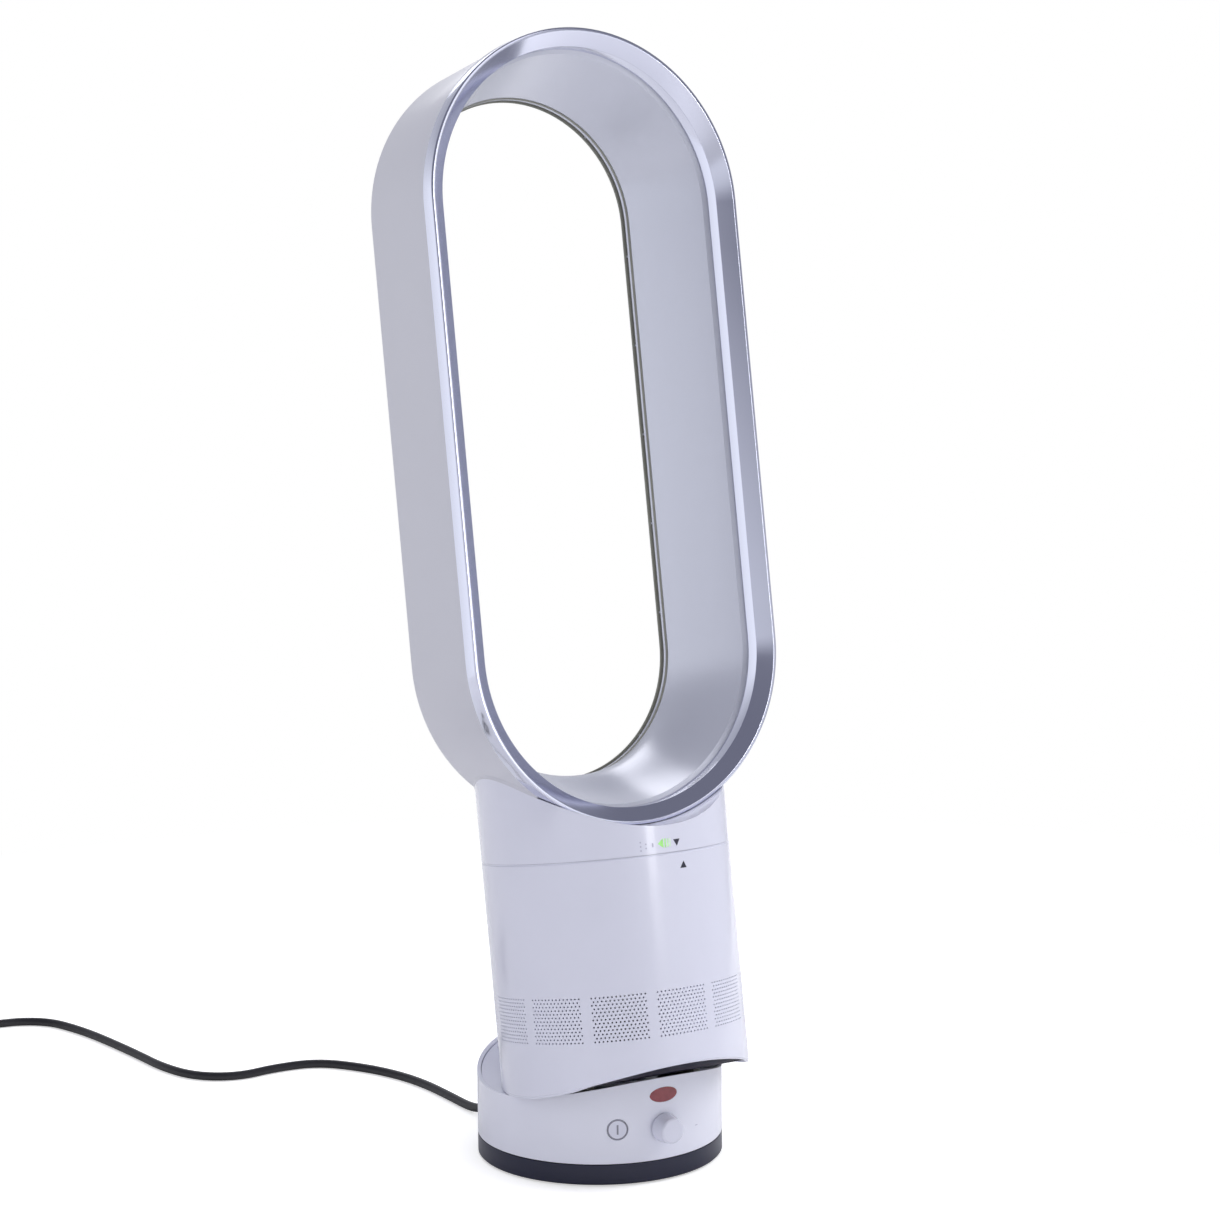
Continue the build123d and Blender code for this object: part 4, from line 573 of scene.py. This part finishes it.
def make_slot_shade():
    """Dark sheets of painted shade that show as dark lines: one in the air slot, one at the step of the
    duct's lip.
    """
    near = LOOP_INNER - SHADE_SKIN
    far = LOOP_INNER + SHADE_SKIN
    rear = LOOP_BACK - SHADE_STOP
    slot_shade_outline = [
        (near, rear),
        (near, REAR_INSIDE - SHADE_SKIN),
        (LOOP_INNER + SHADE_REACH, REAR_INSIDE - SHADE_SKIN),
        (LOOP_INNER + SHADE_REACH, REAR_INSIDE + SHADE_SKIN),
        (far, REAR_INSIDE + SHADE_SKIN),
        (far, rear),
    ]
    loop_piece("slot_shade", slot_shade_outline, "white_gloss", 40, SLOT_PAINTED_SHADE)
    step = [(LOOP_INNER + out, LIP_FRONT + depth) for out, depth in STEP_SHADE]
    loop_piece("step_shade", step, "duct_silver", 40, SLOT_PAINTED_SHADE)


def make_cradle_bead():
    """The soft inner corner where the collar meets the casing, on the left and on the right."""
    steps = 60
    inset = 0.8
    overlap = 0.35
    sink = 0.02
    front = TRIM_BACK + inset
    back = LOOP_BACK - inset
    first = math.degrees(math.acos(-front / BODY_RADIUS))
    last = math.degrees(math.acos(-back / BODY_RADIUS))
    seat_front = TRIM_RADIUS + SEAT_GAP
    seat_back = casing_radius(LOOP_BACK) + SEAT_GAP
    # distance from the body's surface, and the share of the way from the casing to the collar
    section = ((-0.6, 0.0), (0.7, 0.0), (0.25, 0.45), (0.04, 1.0), (-0.6, 1.0))
    for name, side in (("left", -1), ("right", 1)):
        points = []
        for step in range(steps + 1):
            azimuth = side * (first + (last - first) * step / steps)
            for proud, share in section:
                x, y, _ = on_cylinder(azimuth, 0, BODY_RADIUS + proud)
                seat = seat_front + (seat_back - seat_front) * (y - front) / (LOOP_BACK - front)
                near = casing_radius(y) - sink
                reach = near + (seat + overlap - near) * share
                points.append((x, y, LOW_CENTRE - math.sqrt(reach * reach - x * x)))
        faces = strip_faces(steps + 1, len(section), False)
        data = mesh_of("cradle_bead_" + name, points, faces, sharp=60)
        link("cradle_bead_" + name, data, "white_gloss", "nozzle", LEANT, CASING_WHITE)


def make_duct():
    """The silver inside of the loop, from the trim back to the lip beside the air slot."""
    front = RETURN_END + SEAT_GAP
    inner = TRIM_INNER - DUCT_EDGE_STEP
    edge_radius = inner - DUCT_EDGE_STEP
    edge = front + DUCT_EDGE_WIDTH
    lip = LOOP_INNER + DUCT_LIP_STEP
    wall = lip + DUCT_LIP_STEP
    middle = ((edge_radius + wall) / 2 - DUCT_BULGE, (edge + LIP_FRONT) / 2)
    hidden_middle = (middle[0] + CASING_WALL, middle[1])
    hidden_front = (inner + CASING_WALL, front + CASING_WALL)
    flange = casing_radius(front) - CASING_WALL - SEAT_GAP
    profile = rounded([(flange, front + CASING_WALL, 0), (flange, front, 0), (inner, front, 0.6)], 4)
    profile += arc_through((edge_radius, edge), middle, (wall, LIP_FRONT), 22)
    profile += rounded(
        [
            (wall, LIP_FRONT + 0.05, 0),
            (lip, LIP_FRONT + 0.4, 0.2),
            (lip, DUCT_BACK, 0.35),
            (wall + CASING_WALL, DUCT_BACK, 0),
        ],
        3,
    )
    profile += arc_through((wall + CASING_WALL, LIP_FRONT), hidden_middle, hidden_front, 10)

    def swell(depth):
        share = min(1.0, max(0.0, (depth - edge) / (LIP_FRONT - edge)))
        return DUCT_SWELL * math.sin(math.pi * share ** SWELL_LATENESS)

    piece = loop_piece("air_duct", profile, "duct_silver", 24, swell=swell)
    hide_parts("nozzle_duct")


def make_trim():
    profile = rounded(
        [
            (TRIM_RADIUS, TRIM_BACK, 0.2),
            (TRIM_RADIUS, LOOP_FRONT, 1.2),
            (TRIM_RADIUS - TRIM_NOSE, LOOP_FRONT, 0.8),
            (TRIM_INNER, CHAMFER_END, 0.5),
            (TRIM_INNER, RETURN_END, 0.3),
            (TRIM_INNER + TRIM_WALL, RETURN_END, 0.0),
            (TRIM_INNER + TRIM_WALL, CHAMFER_END + TRIM_WALL / 2, 0.0),
            (TRIM_RADIUS - TRIM_NOSE, LOOP_FRONT + TRIM_WALL, 0.0),
            (TRIM_RADIUS - TRIM_WALL, LOOP_FRONT + TRIM_WALL, 0.0),
            (TRIM_RADIUS - TRIM_WALL, TRIM_BACK, 0.0),
        ],
        6,
    )
    piece = loop_piece("loop_trim", profile, "trim_silver", 30)
    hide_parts("front_trim")


# ---------------------------------------------------------------- perforated body
def panel_patch():
    """One panel's holes in the flat: (azimuth, height) points, faces and hole rings."""
    scale = math.degrees(1 / BODY_RADIUS)
    step_across = PANEL_ANGLE * math.pi / 180 * BODY_RADIUS / (PANEL_COLUMNS - 0.5)
    step_up = (PANEL_HIGH - PANEL_LOW - 2 * HOLE_RADIUS) / (PANEL_ROWS - 1)
    azimuths = range(-PATCH_HALF, PATCH_HALF + 1)
    border = [(x, PATCH_LOW) for x in azimuths] + [(x, PATCH_HIGH) for x in reversed(azimuths)]
    points = [Vector((x / scale, y)) for x, y in border]
    edges = [(index, (index + 1) % len(border)) for index in range(len(border))]
    rings = []
    for row in range(PANEL_ROWS):
        columns = PANEL_COLUMNS - row % 2
        height = PANEL_LOW + HOLE_RADIUS + row * step_up
        for column in range(columns):
            middle = (column - (columns - 1) / 2) * step_across
            ring = []
            for side in range(HOLE_SIDES):
                angle = 2 * math.pi * (side + 0.5) / HOLE_SIDES
                across = middle + HOLE_RADIUS * math.cos(angle)
                up = height + HOLE_RADIUS * math.sin(angle)
                ring.append(len(points))
                points.append(Vector((across, up)))
            rings.append(ring)
            edges += [(ring[side], ring[(side + 1) % HOLE_SIDES]) for side in range(HOLE_SIDES)]
    result = delaunay_2d_cdt(points, edges, [], 0, 1e-5)
    flat = [(vertex.x * scale, vertex.y) for vertex in result[0]]
    ring_of = {index: number for number, ring in enumerate(rings) for index in ring}
    sources = [set(found) for found in result[3]]
    faces = []
    for face in result[2]:
        owners = [ring_of.get(min(sources[index])) if sources[index] else None for index in face]
        if owners[0] is None or any(owner != owners[0] for owner in owners):
            faces.append(tuple(face))
    place = {source: index for index, found in enumerate(sources) for source in found}
    return flat, faces, [[place[index] for index in ring] for ring in rings]


def wall_quads(left, right, radius, ease, between_panels):
    """The plain wall between two azimuths, below and above the holes and between the panels."""
    low_left = saddle_height(left, radius, BODY_ARC) + ease
    low_right = saddle_height(right, radius, BODY_ARC) + ease
    top = BODY_TOP - ease
    spans = [(low_left, low_right, PATCH_LOW), (PATCH_HIGH, PATCH_HIGH, top)]
    if between_panels:
        spans.append((PATCH_LOW, PATCH_LOW, PATCH_HIGH))
    quads = []
    for start_left, start_right, end in spans:
        quads.append(
            [
                on_cylinder(left, start_left, radius),
                on_cylinder(right, start_right, radius),
                on_cylinder(right, end, radius),
                on_cylinder(left, end, radius),
            ]
        )
    return quads


def rim_points(azimuth):
    """The chamfered lower and upper rims of the body at one azimuth."""
    low = saddle_height(azimuth, BODY_RADIUS, BODY_ARC)
    return [
        on_cylinder(azimuth, low + EDGE_EASE, BODY_RADIUS),
        on_cylinder(azimuth, low, BODY_RADIUS - EDGE_EASE),
        on_cylinder(azimuth, saddle_height(azimuth, BODY_BORE, BODY_ARC), BODY_BORE),
        on_cylinder(azimuth, BODY_TOP - EDGE_EASE, BODY_RADIUS),
        on_cylinder(azimuth, BODY_TOP, BODY_RADIUS - EDGE_EASE),
        on_cylinder(azimuth, BODY_TOP, BODY_BORE),
    ]


def make_body_shell():
    flat, flat_faces, holes = panel_patch()
    points = []
    faces = []

    def add(new_points, new_faces):
        start = len(points)
        points.extend(new_points)
        faces.extend(tuple(start + index for index in face) for face in new_faces)

    hole_walls = []
    for side in range(HOLE_SIDES):
        following = (side + 1) % HOLE_SIDES
        hole_walls.append((side, following, HOLE_SIDES + following, HOLE_SIDES + side))
    rim_faces = [(0, 1, 7, 6), (1, 2, 8, 7), (3, 4, 10, 9), (4, 5, 11, 10)]
    pitch = 360 // PANEL_COUNT
    for panel in range(PANEL_COUNT):
        turn = panel * pitch
        outer = [on_cylinder(x + turn, y, BODY_RADIUS) for x, y in flat]
        inner = [on_cylinder(x + turn, y, BODY_BORE) for x, y in flat]
        add(outer, flat_faces)
        add(inner, [tuple(reversed(face)) for face in flat_faces])
        for ring in holes:
            add([outer[index] for index in ring] + [inner[index] for index in ring], hole_walls)
        for step in range(pitch):
            left = turn - PATCH_HALF + step
            right = left + 1
            for radius, ease in ((BODY_RADIUS, EDGE_EASE), (BODY_BORE, 0.0)):
                for quad in wall_quads(left, right, radius, ease, step >= 2 * PATCH_HALF):
                    add(quad, [(0, 1, 2, 3)])
            add(rim_points(left) + rim_points(right), rim_faces)
    data = mesh_of("body_cover", points, faces, sharp=35)
    piece = link("body_cover", data, "white_gloss", "tilt_body", LEANT, BODY_WHITE)
    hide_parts("body_shell")


def make_seam_lip():
    """The body's inner lip, which closes the seam below the collar."""
    steps = 120
    outer = BODY_RADIUS - LIP_RECESS
    inner = outer - SEAM_LIP_WIDTH
    low = BODY_TOP - SEAM_LIP_ROOT
    high = SEAM + SEAM_LIP_PROUD
    section = [(inner, low), (outer, low), (outer, high), (inner, high)]
    points = []
    for step in range(steps):
        points += [on_cylinder(360 * step / steps, height, radius) for radius, height in section]
    data = mesh_of("seam_lip", points, strip_faces(steps, len(section), True), sharp=40)
    link("seam_lip", data, "white_gloss", "tilt_body", LEANT, BODY_WHITE)


def make_side_lips():
    """A lip below the body's edge at either side, where it comes close to the deck."""
    outer = BODY_RADIUS - LIP_RECESS
    inner = BODY_BORE + LIP_RECESS
    azimuths = range(SIDE_LIP_FIRST, SIDE_LIP_LAST + 1, 2)
    for name, side in (("left", -1), ("right", 1)):
        points = []
        for azimuth in azimuths:
            to_end = min(azimuth - SIDE_LIP_FIRST, SIDE_LIP_LAST - azimuth)
            share = min(1.0, to_end / SIDE_LIP_EASE)
            arc = BODY_ARC + SIDE_LIP_DROP * share * share * (3 - 2 * share)
            for radius in (inner, outer):
                root = saddle_height(azimuth, radius, BODY_ARC) + SIDE_LIP_ROOT
                points.append(on_cylinder(side * azimuth, root, radius))
            for radius in (outer, inner):
                points.append(on_cylinder(side * azimuth, saddle_height(azimuth, radius, arc), radius))
        data = mesh_of("side_lip_" + name, points, strip_faces(len(azimuths), 4, False), sharp=40)
        link("side_lip_" + name, data, "white_gloss", "tilt_body", LEANT, BODY_WHITE)


# ---------------------------------------------------------------- marks
PRINT = 0.06              # thickness of a printed mark
FILM = 0.03               # thickness of a pale mark or a lit digit
ROOT = 0.02               # how far a mark is sunk
PATCH_STEP = 0.45         # about the length of a step along a mark's outline, in degrees
BUTTON_PLACE = (-22.5, 36.8)
BUTTON_RING = (6.45, 5.75)
BUTTON_BAR = (1.15, 6.2)
RANGE_PLACE = (19.8, 30.9)
RANGE_BAR = (2.6, 0.6)
ARROW_DOWN = [(2.4, 208.2), (4.1, 203.9), (5.9, 208.2)]
ARROW_UP = [(4.9, 189.8), (8.5, 189.8), (7.0, 194.2)]
LIT_HEAD = [(-5.65, 206.6), (-2.9, 209.7), (-2.9, 203.6)]
LIT_HEIGHT = 206.6
LIT_BARS = [(-1.9, 5.6), (-0.6, 5.3), (0.6, 5.0)]
LIT_WIDTH = 1.0
DIM_DOTS = [(-13.9, 203.4), (-13.9, 206.0), (-13.9, 208.6), (-11.4, 204.6), (-11.4, 207.2)]
DIM_DOT_RADIUS = 0.55
DIM_PLACE = (-8.2, 206.2)
DIM_BAR = (1.0, 2.6)


def patch(outline, thickness):
    """A thin curved plate on the body from an outline of (azimuth, height) points."""
    scale = math.degrees(1 / BODY_RADIUS)
    border = []
    for index, (azimuth, height) in enumerate(outline):
        following = outline[(index + 1) % len(outline)]
        start = Vector((azimuth / scale, height))
        end = Vector((following[0] / scale, following[1]))
        pieces = max(1, round((end - start).length / (PATCH_STEP / scale)))
        border += [start.lerp(end, part / pieces) for part in range(pieces)]
    edges = [(index, (index + 1) % len(border)) for index in range(len(border))]
    result = delaunay_2d_cdt(border, edges, [], 1, 1e-5)
    flat = [(vertex.x * scale, vertex.y) for vertex in result[0]]
    size = len(flat)
    points = [on_cylinder(x, y, BODY_RADIUS + thickness) for x, y in flat]
    points += [on_cylinder(x, y, BODY_RADIUS - ROOT) for x, y in flat]
    faces = [tuple(face) for face in result[2]]
    faces += [tuple(size + index for index in reversed(face)) for face in result[2]]
    used = {}
    for face in result[2]:
        for index in range(len(face)):
            pair = frozenset((face[index], face[(index + 1) % len(face)]))
            used[pair] = used.get(pair, 0) + 1
    for pair, times in used.items():
        if times == 1:
            first, second = tuple(pair)
            faces.append((first, second, size + second, size + first))
    return points, faces


def mark(name, outline, material, slot, body, thickness=PRINT, matrix=LEANT):
    return link(name, mesh_of(name, *patch(outline, thickness)), slot, body, matrix, material)


def bar(place, size):
    """Corners of an upright mark round a place, its width and height in millimetres."""
    azimuth, height = place
    half = math.degrees(size[0] / 2 / BODY_RADIUS)
    low = height - size[1] / 2
    high = height + size[1] / 2
    return [(azimuth - half, low), (azimuth + half, low), (azimuth + half, high), (azimuth - half, high)]


def dot(place, radius, sides=12):
    scale = math.degrees(1 / BODY_RADIUS)
    turns = [2 * math.pi * side / sides for side in range(sides)]
    azimuth, height = place
    return [(azimuth + radius * scale * math.cos(turn), height + radius * math.sin(turn)) for turn in turns]


def button_ring():
    """A grey ring round the rim of the power key, next to the gap round it."""
    steps = 48
    level = 0.05
    outer, inner = BUTTON_RING
    azimuth, height = BUTTON_PLACE
    points = []
    for step in range(steps):
        turn = 2 * math.pi * step / steps
        for radius, proud in ((inner, level), (outer, level), (outer, -ROOT), (inner, -ROOT)):
            across = azimuth + math.degrees(radius * math.cos(turn) / BODY_RADIUS)
            points.append(on_cylinder(across, height + radius * math.sin(turn), BODY_RADIUS + proud))
    data = mesh_of("button_ring", points, strip_faces(steps, 4, True))
    link("button_ring", data, "foot_charcoal", "button", None, MARK_GREY)


def make_marks():
    ink = "foot_charcoal"
    mark("arrow_down", ARROW_DOWN, MARK_BLACK, ink, "nozzle")
    mark("arrow_up", ARROW_UP, MARK_BLACK, ink, "tilt_body")
    button_ring()
    mark("button_sign", bar(BUTTON_PLACE, BUTTON_BAR), MARK_GREY, ink, "button", matrix=None)
    mark("range_mark", bar(RANGE_PLACE, RANGE_BAR), MARK_PALE, ink, "swivel_base", FILM, None)
    light = "display_film"
    mark("lit_head", LIT_HEAD, LIT_GREEN, light, "tilt_body", FILM)
    for index, (azimuth, tall) in enumerate(LIT_BARS):
        outline = bar((azimuth, LIT_HEIGHT), (LIT_WIDTH, tall))
        mark("lit_bar_%d" % index, outline, LIT_STEPS[index], light, "tilt_body", FILM)
    for index, place in enumerate(DIM_DOTS):
        mark("dim_dot_%d" % index, dot(place, DIM_DOT_RADIUS), MARK_PALE, light, "tilt_body", FILM)
    mark("dim_bar", bar(DIM_PLACE, DIM_BAR), MARK_PALE, light, "tilt_body", FILM)


# ---------------------------------------------------------------- cord
COIL_STEPS = 8
COIL_SHRINK = 0.981       # the curve's mean radius, as a share of its controls' radius


def heading(angle):
    return Vector((math.cos(math.radians(angle)), math.sin(math.radians(angle)), 0))


def coil_place(across, along, height):
    """A point from the coil's first centre, across and along the cord that comes in."""
    outwards = heading(COIL_HEADING - 90)
    forwards = heading(COIL_HEADING)
    centre = COIL_START - outwards * COIL_RADIUS
    return centre + outwards * across + forwards * along + Vector((0, 0, height))


def coil_controls():
    """The put-away turns, spiralling in, up and out again, as points of the same line."""
    radius = COIL_RADIUS
    place = COIL_RADIUS
    side = 1
    controls = []
    for index in range(COIL_INWARD_HALF_TURNS + 1 + COIL_OUTWARD_HALF_TURNS):
        low = CORD_RADIUS + (COIL_PITCH if index > COIL_INWARD_HALF_TURNS else 0)
        rise = COIL_PITCH if index == COIL_INWARD_HALF_TURNS else 0
        end = place - side * 2 * radius
        middle = (place + end) / 2
        half = radius / COIL_SHRINK
        for step in range(COIL_STEPS):
            share = step / COIL_STEPS
            across = middle + side * half * math.cos(math.pi * share)
            along = side * half * math.sin(math.pi * share)
            controls.append(coil_place(across, along, low + rise * share))
        place = end
        side = -side
        radius += COIL_PITCH / 2 if index >= COIL_INWARD_HALF_TURNS else -COIL_PITCH / 2
    return controls, place


def tail_controls(across):
    """Level off the coil, then down to the plug."""
    high = CORD_RADIUS + COIL_PITCH
    low = PLUG_THICKNESS / 2
    level_start = 2 * CORD_RADIUS
    level_end = level_start + TAIL_LEVEL
    foot = level_end + TAIL_DROP
    steps = ((level_start, high), (level_end, high), (foot, low), (foot + TAIL_END, low))
    return [coil_place(across, along, height) for along, height in steps]


def make_cord():
    floor = CORD_RADIUS
    route = [
        (GLAND_X, GLAND_BACK, GLAND_HEIGHT),
        (GLAND_X, GLAND_BACK + GLAND_LEAD, GLAND_HEIGHT),
        (-33.2, 113.0, floor),
        (-33.2, 150.0, floor),
        (-34.0, 181.0, floor),
        (-39.0, 211.0, floor),
        (-51.5, 243.0, floor),
        (-74.0, 274.0, floor),
        (-107.0, 277.5, floor),
        (-137.0, 271.5, floor),
        (-163.0, 288.0, floor),
        (-174.0, 322.0, floor),
        (-177.0, 366.0, floor),
        (-184.0, 428.0, floor),
        (-191.0, 460.0, floor),
        (-199.0, 483.0, floor),
        (-216.0, 497.0, floor),
        (-236.0, 500.5, floor),
        coil_place(COIL_RADIUS, -2 * CORD_RADIUS - COIL_LEAD, floor),
        coil_place(COIL_RADIUS, -2 * CORD_RADIUS, floor),
    ]
    turns, across = coil_controls()
    points = [Vector(point) for point in route] + turns + tail_controls(across)
    data = bpy.data.curves.new("mains_lead", "CURVE")
    data.dimensions = "3D"
    data.bevel_depth = CORD_RADIUS * MM
    data.bevel_resolution = 6
    data.resolution_u = 6
    data.use_fill_caps = True
    spline = data.splines.new("NURBS")
    spline.points.add(len(points) - 1)
    for place, point in zip(spline.points, points):
        place.co = (*(point * MM), 1.0)
    spline.order_u = 3
    spline.use_endpoint_u = True
    spline.use_smooth = True
    piece = link("mains_lead", data, "cord_black", "foot")
    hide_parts("power_cord", "cord_coil", "cord_tail")
    return piece


# ---------------------------------------------------------------- surroundings
# What gloss sees of the room, as (height from -1 to 1, brightness) stops.
FRONT_ROOM = [(0.0, 0.88), (0.11, 0.75), (0.15, 0.63), (0.182, 0.5), (0.213, 0.4), (0.25, 0.24), (0.7, 0.21)]
SIDE_ROOM = [(-0.45, 0.28), (-0.15, 0.44), (-0.02, 0.53), (0.1, 0.53), (0.2, 0.4), (0.53, 0.3), (0.86, 0.2)]
REAR_LEFT_ROOM = [(0.1, 1.2), (0.35, 0.5), (0.8, 0.25)]
REAR_RIGHT_ROOM = [(0.1, 0.62), (0.5, 0.5), (0.8, 0.25)]
# Where one wall passes into the next, as a range of a direction's X or Y.
FRONT_TO_SIDE = (0.6, 0.84)
REAR_LEFT_TO_RIGHT = (-0.65, 0.1)
FRONT_TO_REAR = (0.48, 0.7)
ROOM_BLUE = 0.05
AMBIENT = (0.93, 0.94, 1.0, 1.0)
AMBIENT_STRENGTH = 0.46


def background(tree, colour=(1, 1, 1, 1), strength=1.0):
    node = tree.nodes.new("ShaderNodeBackground")
    node.inputs["Color"].default_value = colour
    node.inputs["Strength"].default_value = strength
    return node


def room_ramp(tree, height, stops):
    """Brightness of one wall of the room by height."""
    ramp = tree.nodes.new("ShaderNodeValToRGB")
    while len(ramp.color_ramp.elements) < len(stops):
        ramp.color_ramp.elements.new(0.5)
    for element, (place, level) in zip(ramp.color_ramp.elements, stops):
        element.position = (place + 1) / 2
        element.color = (level, level * 1.02, level * 1.02 + ROOM_BLUE, 1.0)
    tree.links.new(height, ramp.inputs["Fac"])
    return ramp.outputs["Color"]


def room_mix(tree, share, first, second):
    mix = tree.nodes.new("ShaderNodeMix")
    mix.data_type = "RGBA"
    tree.links.new(share, mix.inputs["Factor"])
    tree.links.new(first, mix.inputs["A"])
    tree.links.new(second, mix.inputs["B"])
    return mix.outputs["Result"]


def make_world():
    """White to the camera, an even light on surfaces, and a room with darker walls in gloss."""
    world = bpy.data.worlds.new("studio")
    world.use_nodes = True
    bpy.context.scene.world = world
    tree = world.node_tree
    tree.nodes.clear()
    coordinates = tree.nodes.new("ShaderNodeTexCoord")
    split = tree.nodes.new("ShaderNodeSeparateXYZ")
    tree.links.new(coordinates.outputs["Generated"], split.inputs["Vector"])
    x, y, z = (split.outputs[axis] for axis in "XYZ")
    height = range_node(tree, z, -1.0, 1.0)
    rooms = (FRONT_ROOM, SIDE_ROOM, REAR_LEFT_ROOM, REAR_RIGHT_ROOM)
    front, side, rear_left, rear_right = [room_ramp(tree, height, stops) for stops in rooms]
    before = room_mix(tree, range_node(tree, x, *FRONT_TO_SIDE), front, side)
    behind = room_mix(tree, range_node(tree, x, *REAR_LEFT_TO_RIGHT), rear_left, rear_right)
    around = room_mix(tree, range_node(tree, y, *FRONT_TO_REAR), before, behind)
    glossy = background(tree)
    tree.links.new(around, glossy.inputs["Color"])
    light = background(tree, AMBIENT, AMBIENT_STRENGTH)
    seen = background(tree)
    path = tree.nodes.new("ShaderNodeLightPath")
    lit = mix_shaders(
        tree, path.outputs["Is Glossy Ray"], light.outputs["Background"], glossy.outputs["Background"]
    )
    direct = math_node(
        tree, "MAXIMUM", path.outputs["Is Camera Ray"], path.outputs["Is Transmission Ray"]
    )
    output = tree.nodes.new("ShaderNodeOutputWorld")
    final = mix_shaders(tree, direct, lit, seen.outputs["Background"])
    tree.links.new(final, output.inputs["Surface"])


# ---------------------------------------------------------------- floor
FLOOR_REACH = 9.0
FLOOR_RIGHT = 0.95
FLOOR_BACK = 1.2
FLOOR_DROP = 0.0003
FLOOR_GLOW = 0.54         # added for the camera, so that the paper reads white
PAPER_GLOW = 0.24         # added for other rays, away from the fan
FADE_START = 0.5
FADE_END = 1.1
PAPER_LOW = (0.86, 0.86, 0.88, 1)
PAPER_HIGH = (0.9, 0.9, 0.91, 1)


def emission(tree, strength=1.0):
    node = tree.nodes.new("ShaderNodeEmission")
    node.inputs["Strength"].default_value = strength
    return node


def make_floor():
    """Pale paper that keeps the fan's shadow and fades to white away from it."""
    corners = [
        (-FLOOR_REACH, -FLOOR_REACH, 0),
        (FLOOR_RIGHT, -FLOOR_REACH, 0),
        (FLOOR_RIGHT, FLOOR_BACK, 0),
        (-FLOOR_REACH, FLOOR_BACK, 0),
    ]
    data = bpy.data.meshes.new("floor")
    data.from_pydata(corners, [], [(0, 1, 2, 3)])
    floor = bpy.data.objects.new("floor", data)
    floor.location = (0, 0, -FLOOR_DROP)
    bpy.context.scene.collection.objects.link(floor)
    material, tree, shader = nodes_of("pale_floor")
    coordinates = tree.nodes.new("ShaderNodeTexCoord")
    clouds = noise_node(tree, coordinates, 2.0)
    tint = tint_node(tree, clouds, PAPER_LOW, PAPER_HIGH)
    tree.links.new(tint.outputs["Color"], shader.inputs["Base Color"])
    shader.inputs["Roughness"].default_value = 0.9
    shader.inputs["Specular IOR Level"].default_value = 0.0
    far = tree.nodes.new("ShaderNodeVectorMath")
    far.operation = "LENGTH"
    tree.links.new(coordinates.outputs["Object"], far.inputs[0])
    fade = range_node(tree, far.outputs["Value"], FADE_START, FADE_END)
    paper = emission(tree)
    tree.links.new(math_node(tree, "MULTIPLY", fade, PAPER_GLOW), paper.inputs["Strength"])
    glow = emission(tree, FLOOR_GLOW)
    to_camera = tree.nodes.new("ShaderNodeLightPath").outputs["Is Camera Ray"]
    added = mix_shaders(tree, to_camera, paper.outputs["Emission"], glow.outputs["Emission"])
    both = tree.nodes.new("ShaderNodeAddShader")
    tree.links.new(shader.outputs["BSDF"], both.inputs[0])
    tree.links.new(added, both.inputs[1])
    white = emission(tree)
    gone = math_node(tree, "MULTIPLY", fade, to_camera)
    final = mix_shaders(tree, gone, both.outputs["Shader"], white.outputs["Emission"])
    output = next(node for node in tree.nodes if node.type == "OUTPUT_MATERIAL")
    tree.links.new(final, output.inputs["Surface"])
    data.materials.append(material)


# ---------------------------------------------------------------- lights
LIGHT_TARGET = Vector((0, 0, 0.36))
# Name, azimuth, elevation, distance, width, height and power. The surface lamps aren't seen in
# gloss, and the gloss lamps give no diffuse light.
SURFACE_LAMPS = [
    ("key", 70, 32, 2.6, 1.4, 1.6, 34),
    ("overhead", 0, 84, 2.4, 1.9, 1.9, 26),
    ("fill", -70, 15, 2.8, 1.6, 1.8, 6),
]
GLOSS_LAMPS = [
    ("strip", 12.5, 14, 2.6, 0.36, 1.2, 8.5),
    ("window", 17, 27, 2.6, 1.1, 2.6, 9),
    ("rear", 165, 36, 2.6, 0.9, 1.1, 5.5),
]


def area_light(name, azimuth, elevation, distance, width, height, power):
    data = bpy.data.lights.new(name, "AREA")
    data.shape = "RECTANGLE"
    data.size = width
    data.size_y = height
    data.energy = power
    lamp = bpy.data.objects.new(name, data)
    around = math.radians(azimuth)
    rise = math.radians(elevation)
    away = Vector(
        (math.sin(around) * math.cos(rise), -math.cos(around) * math.cos(rise), math.sin(rise))
    )
    lamp.location = LIGHT_TARGET + away * distance
    lamp.rotation_euler = away.to_track_quat("Z", "Y").to_euler()
    bpy.context.scene.collection.objects.link(lamp)
    return lamp


def make_lights():
    for row in SURFACE_LAMPS:
        area_light(*row).visible_glossy = False
    for row in GLOSS_LAMPS:
        area_light(*row).visible_diffuse = False


# ---------------------------------------------------------------- assembly
make_camera()
cord = make_cord()
make_casing()
make_slot_shade()
make_cradle_bead()
make_duct()
make_trim()
make_body_shell()
make_seam_lip()
make_side_lips()
make_marks()
dress_nodes()
make_world()
make_floor()
make_lights()

bpy.context.scene.view_settings.view_transform = "Standard"
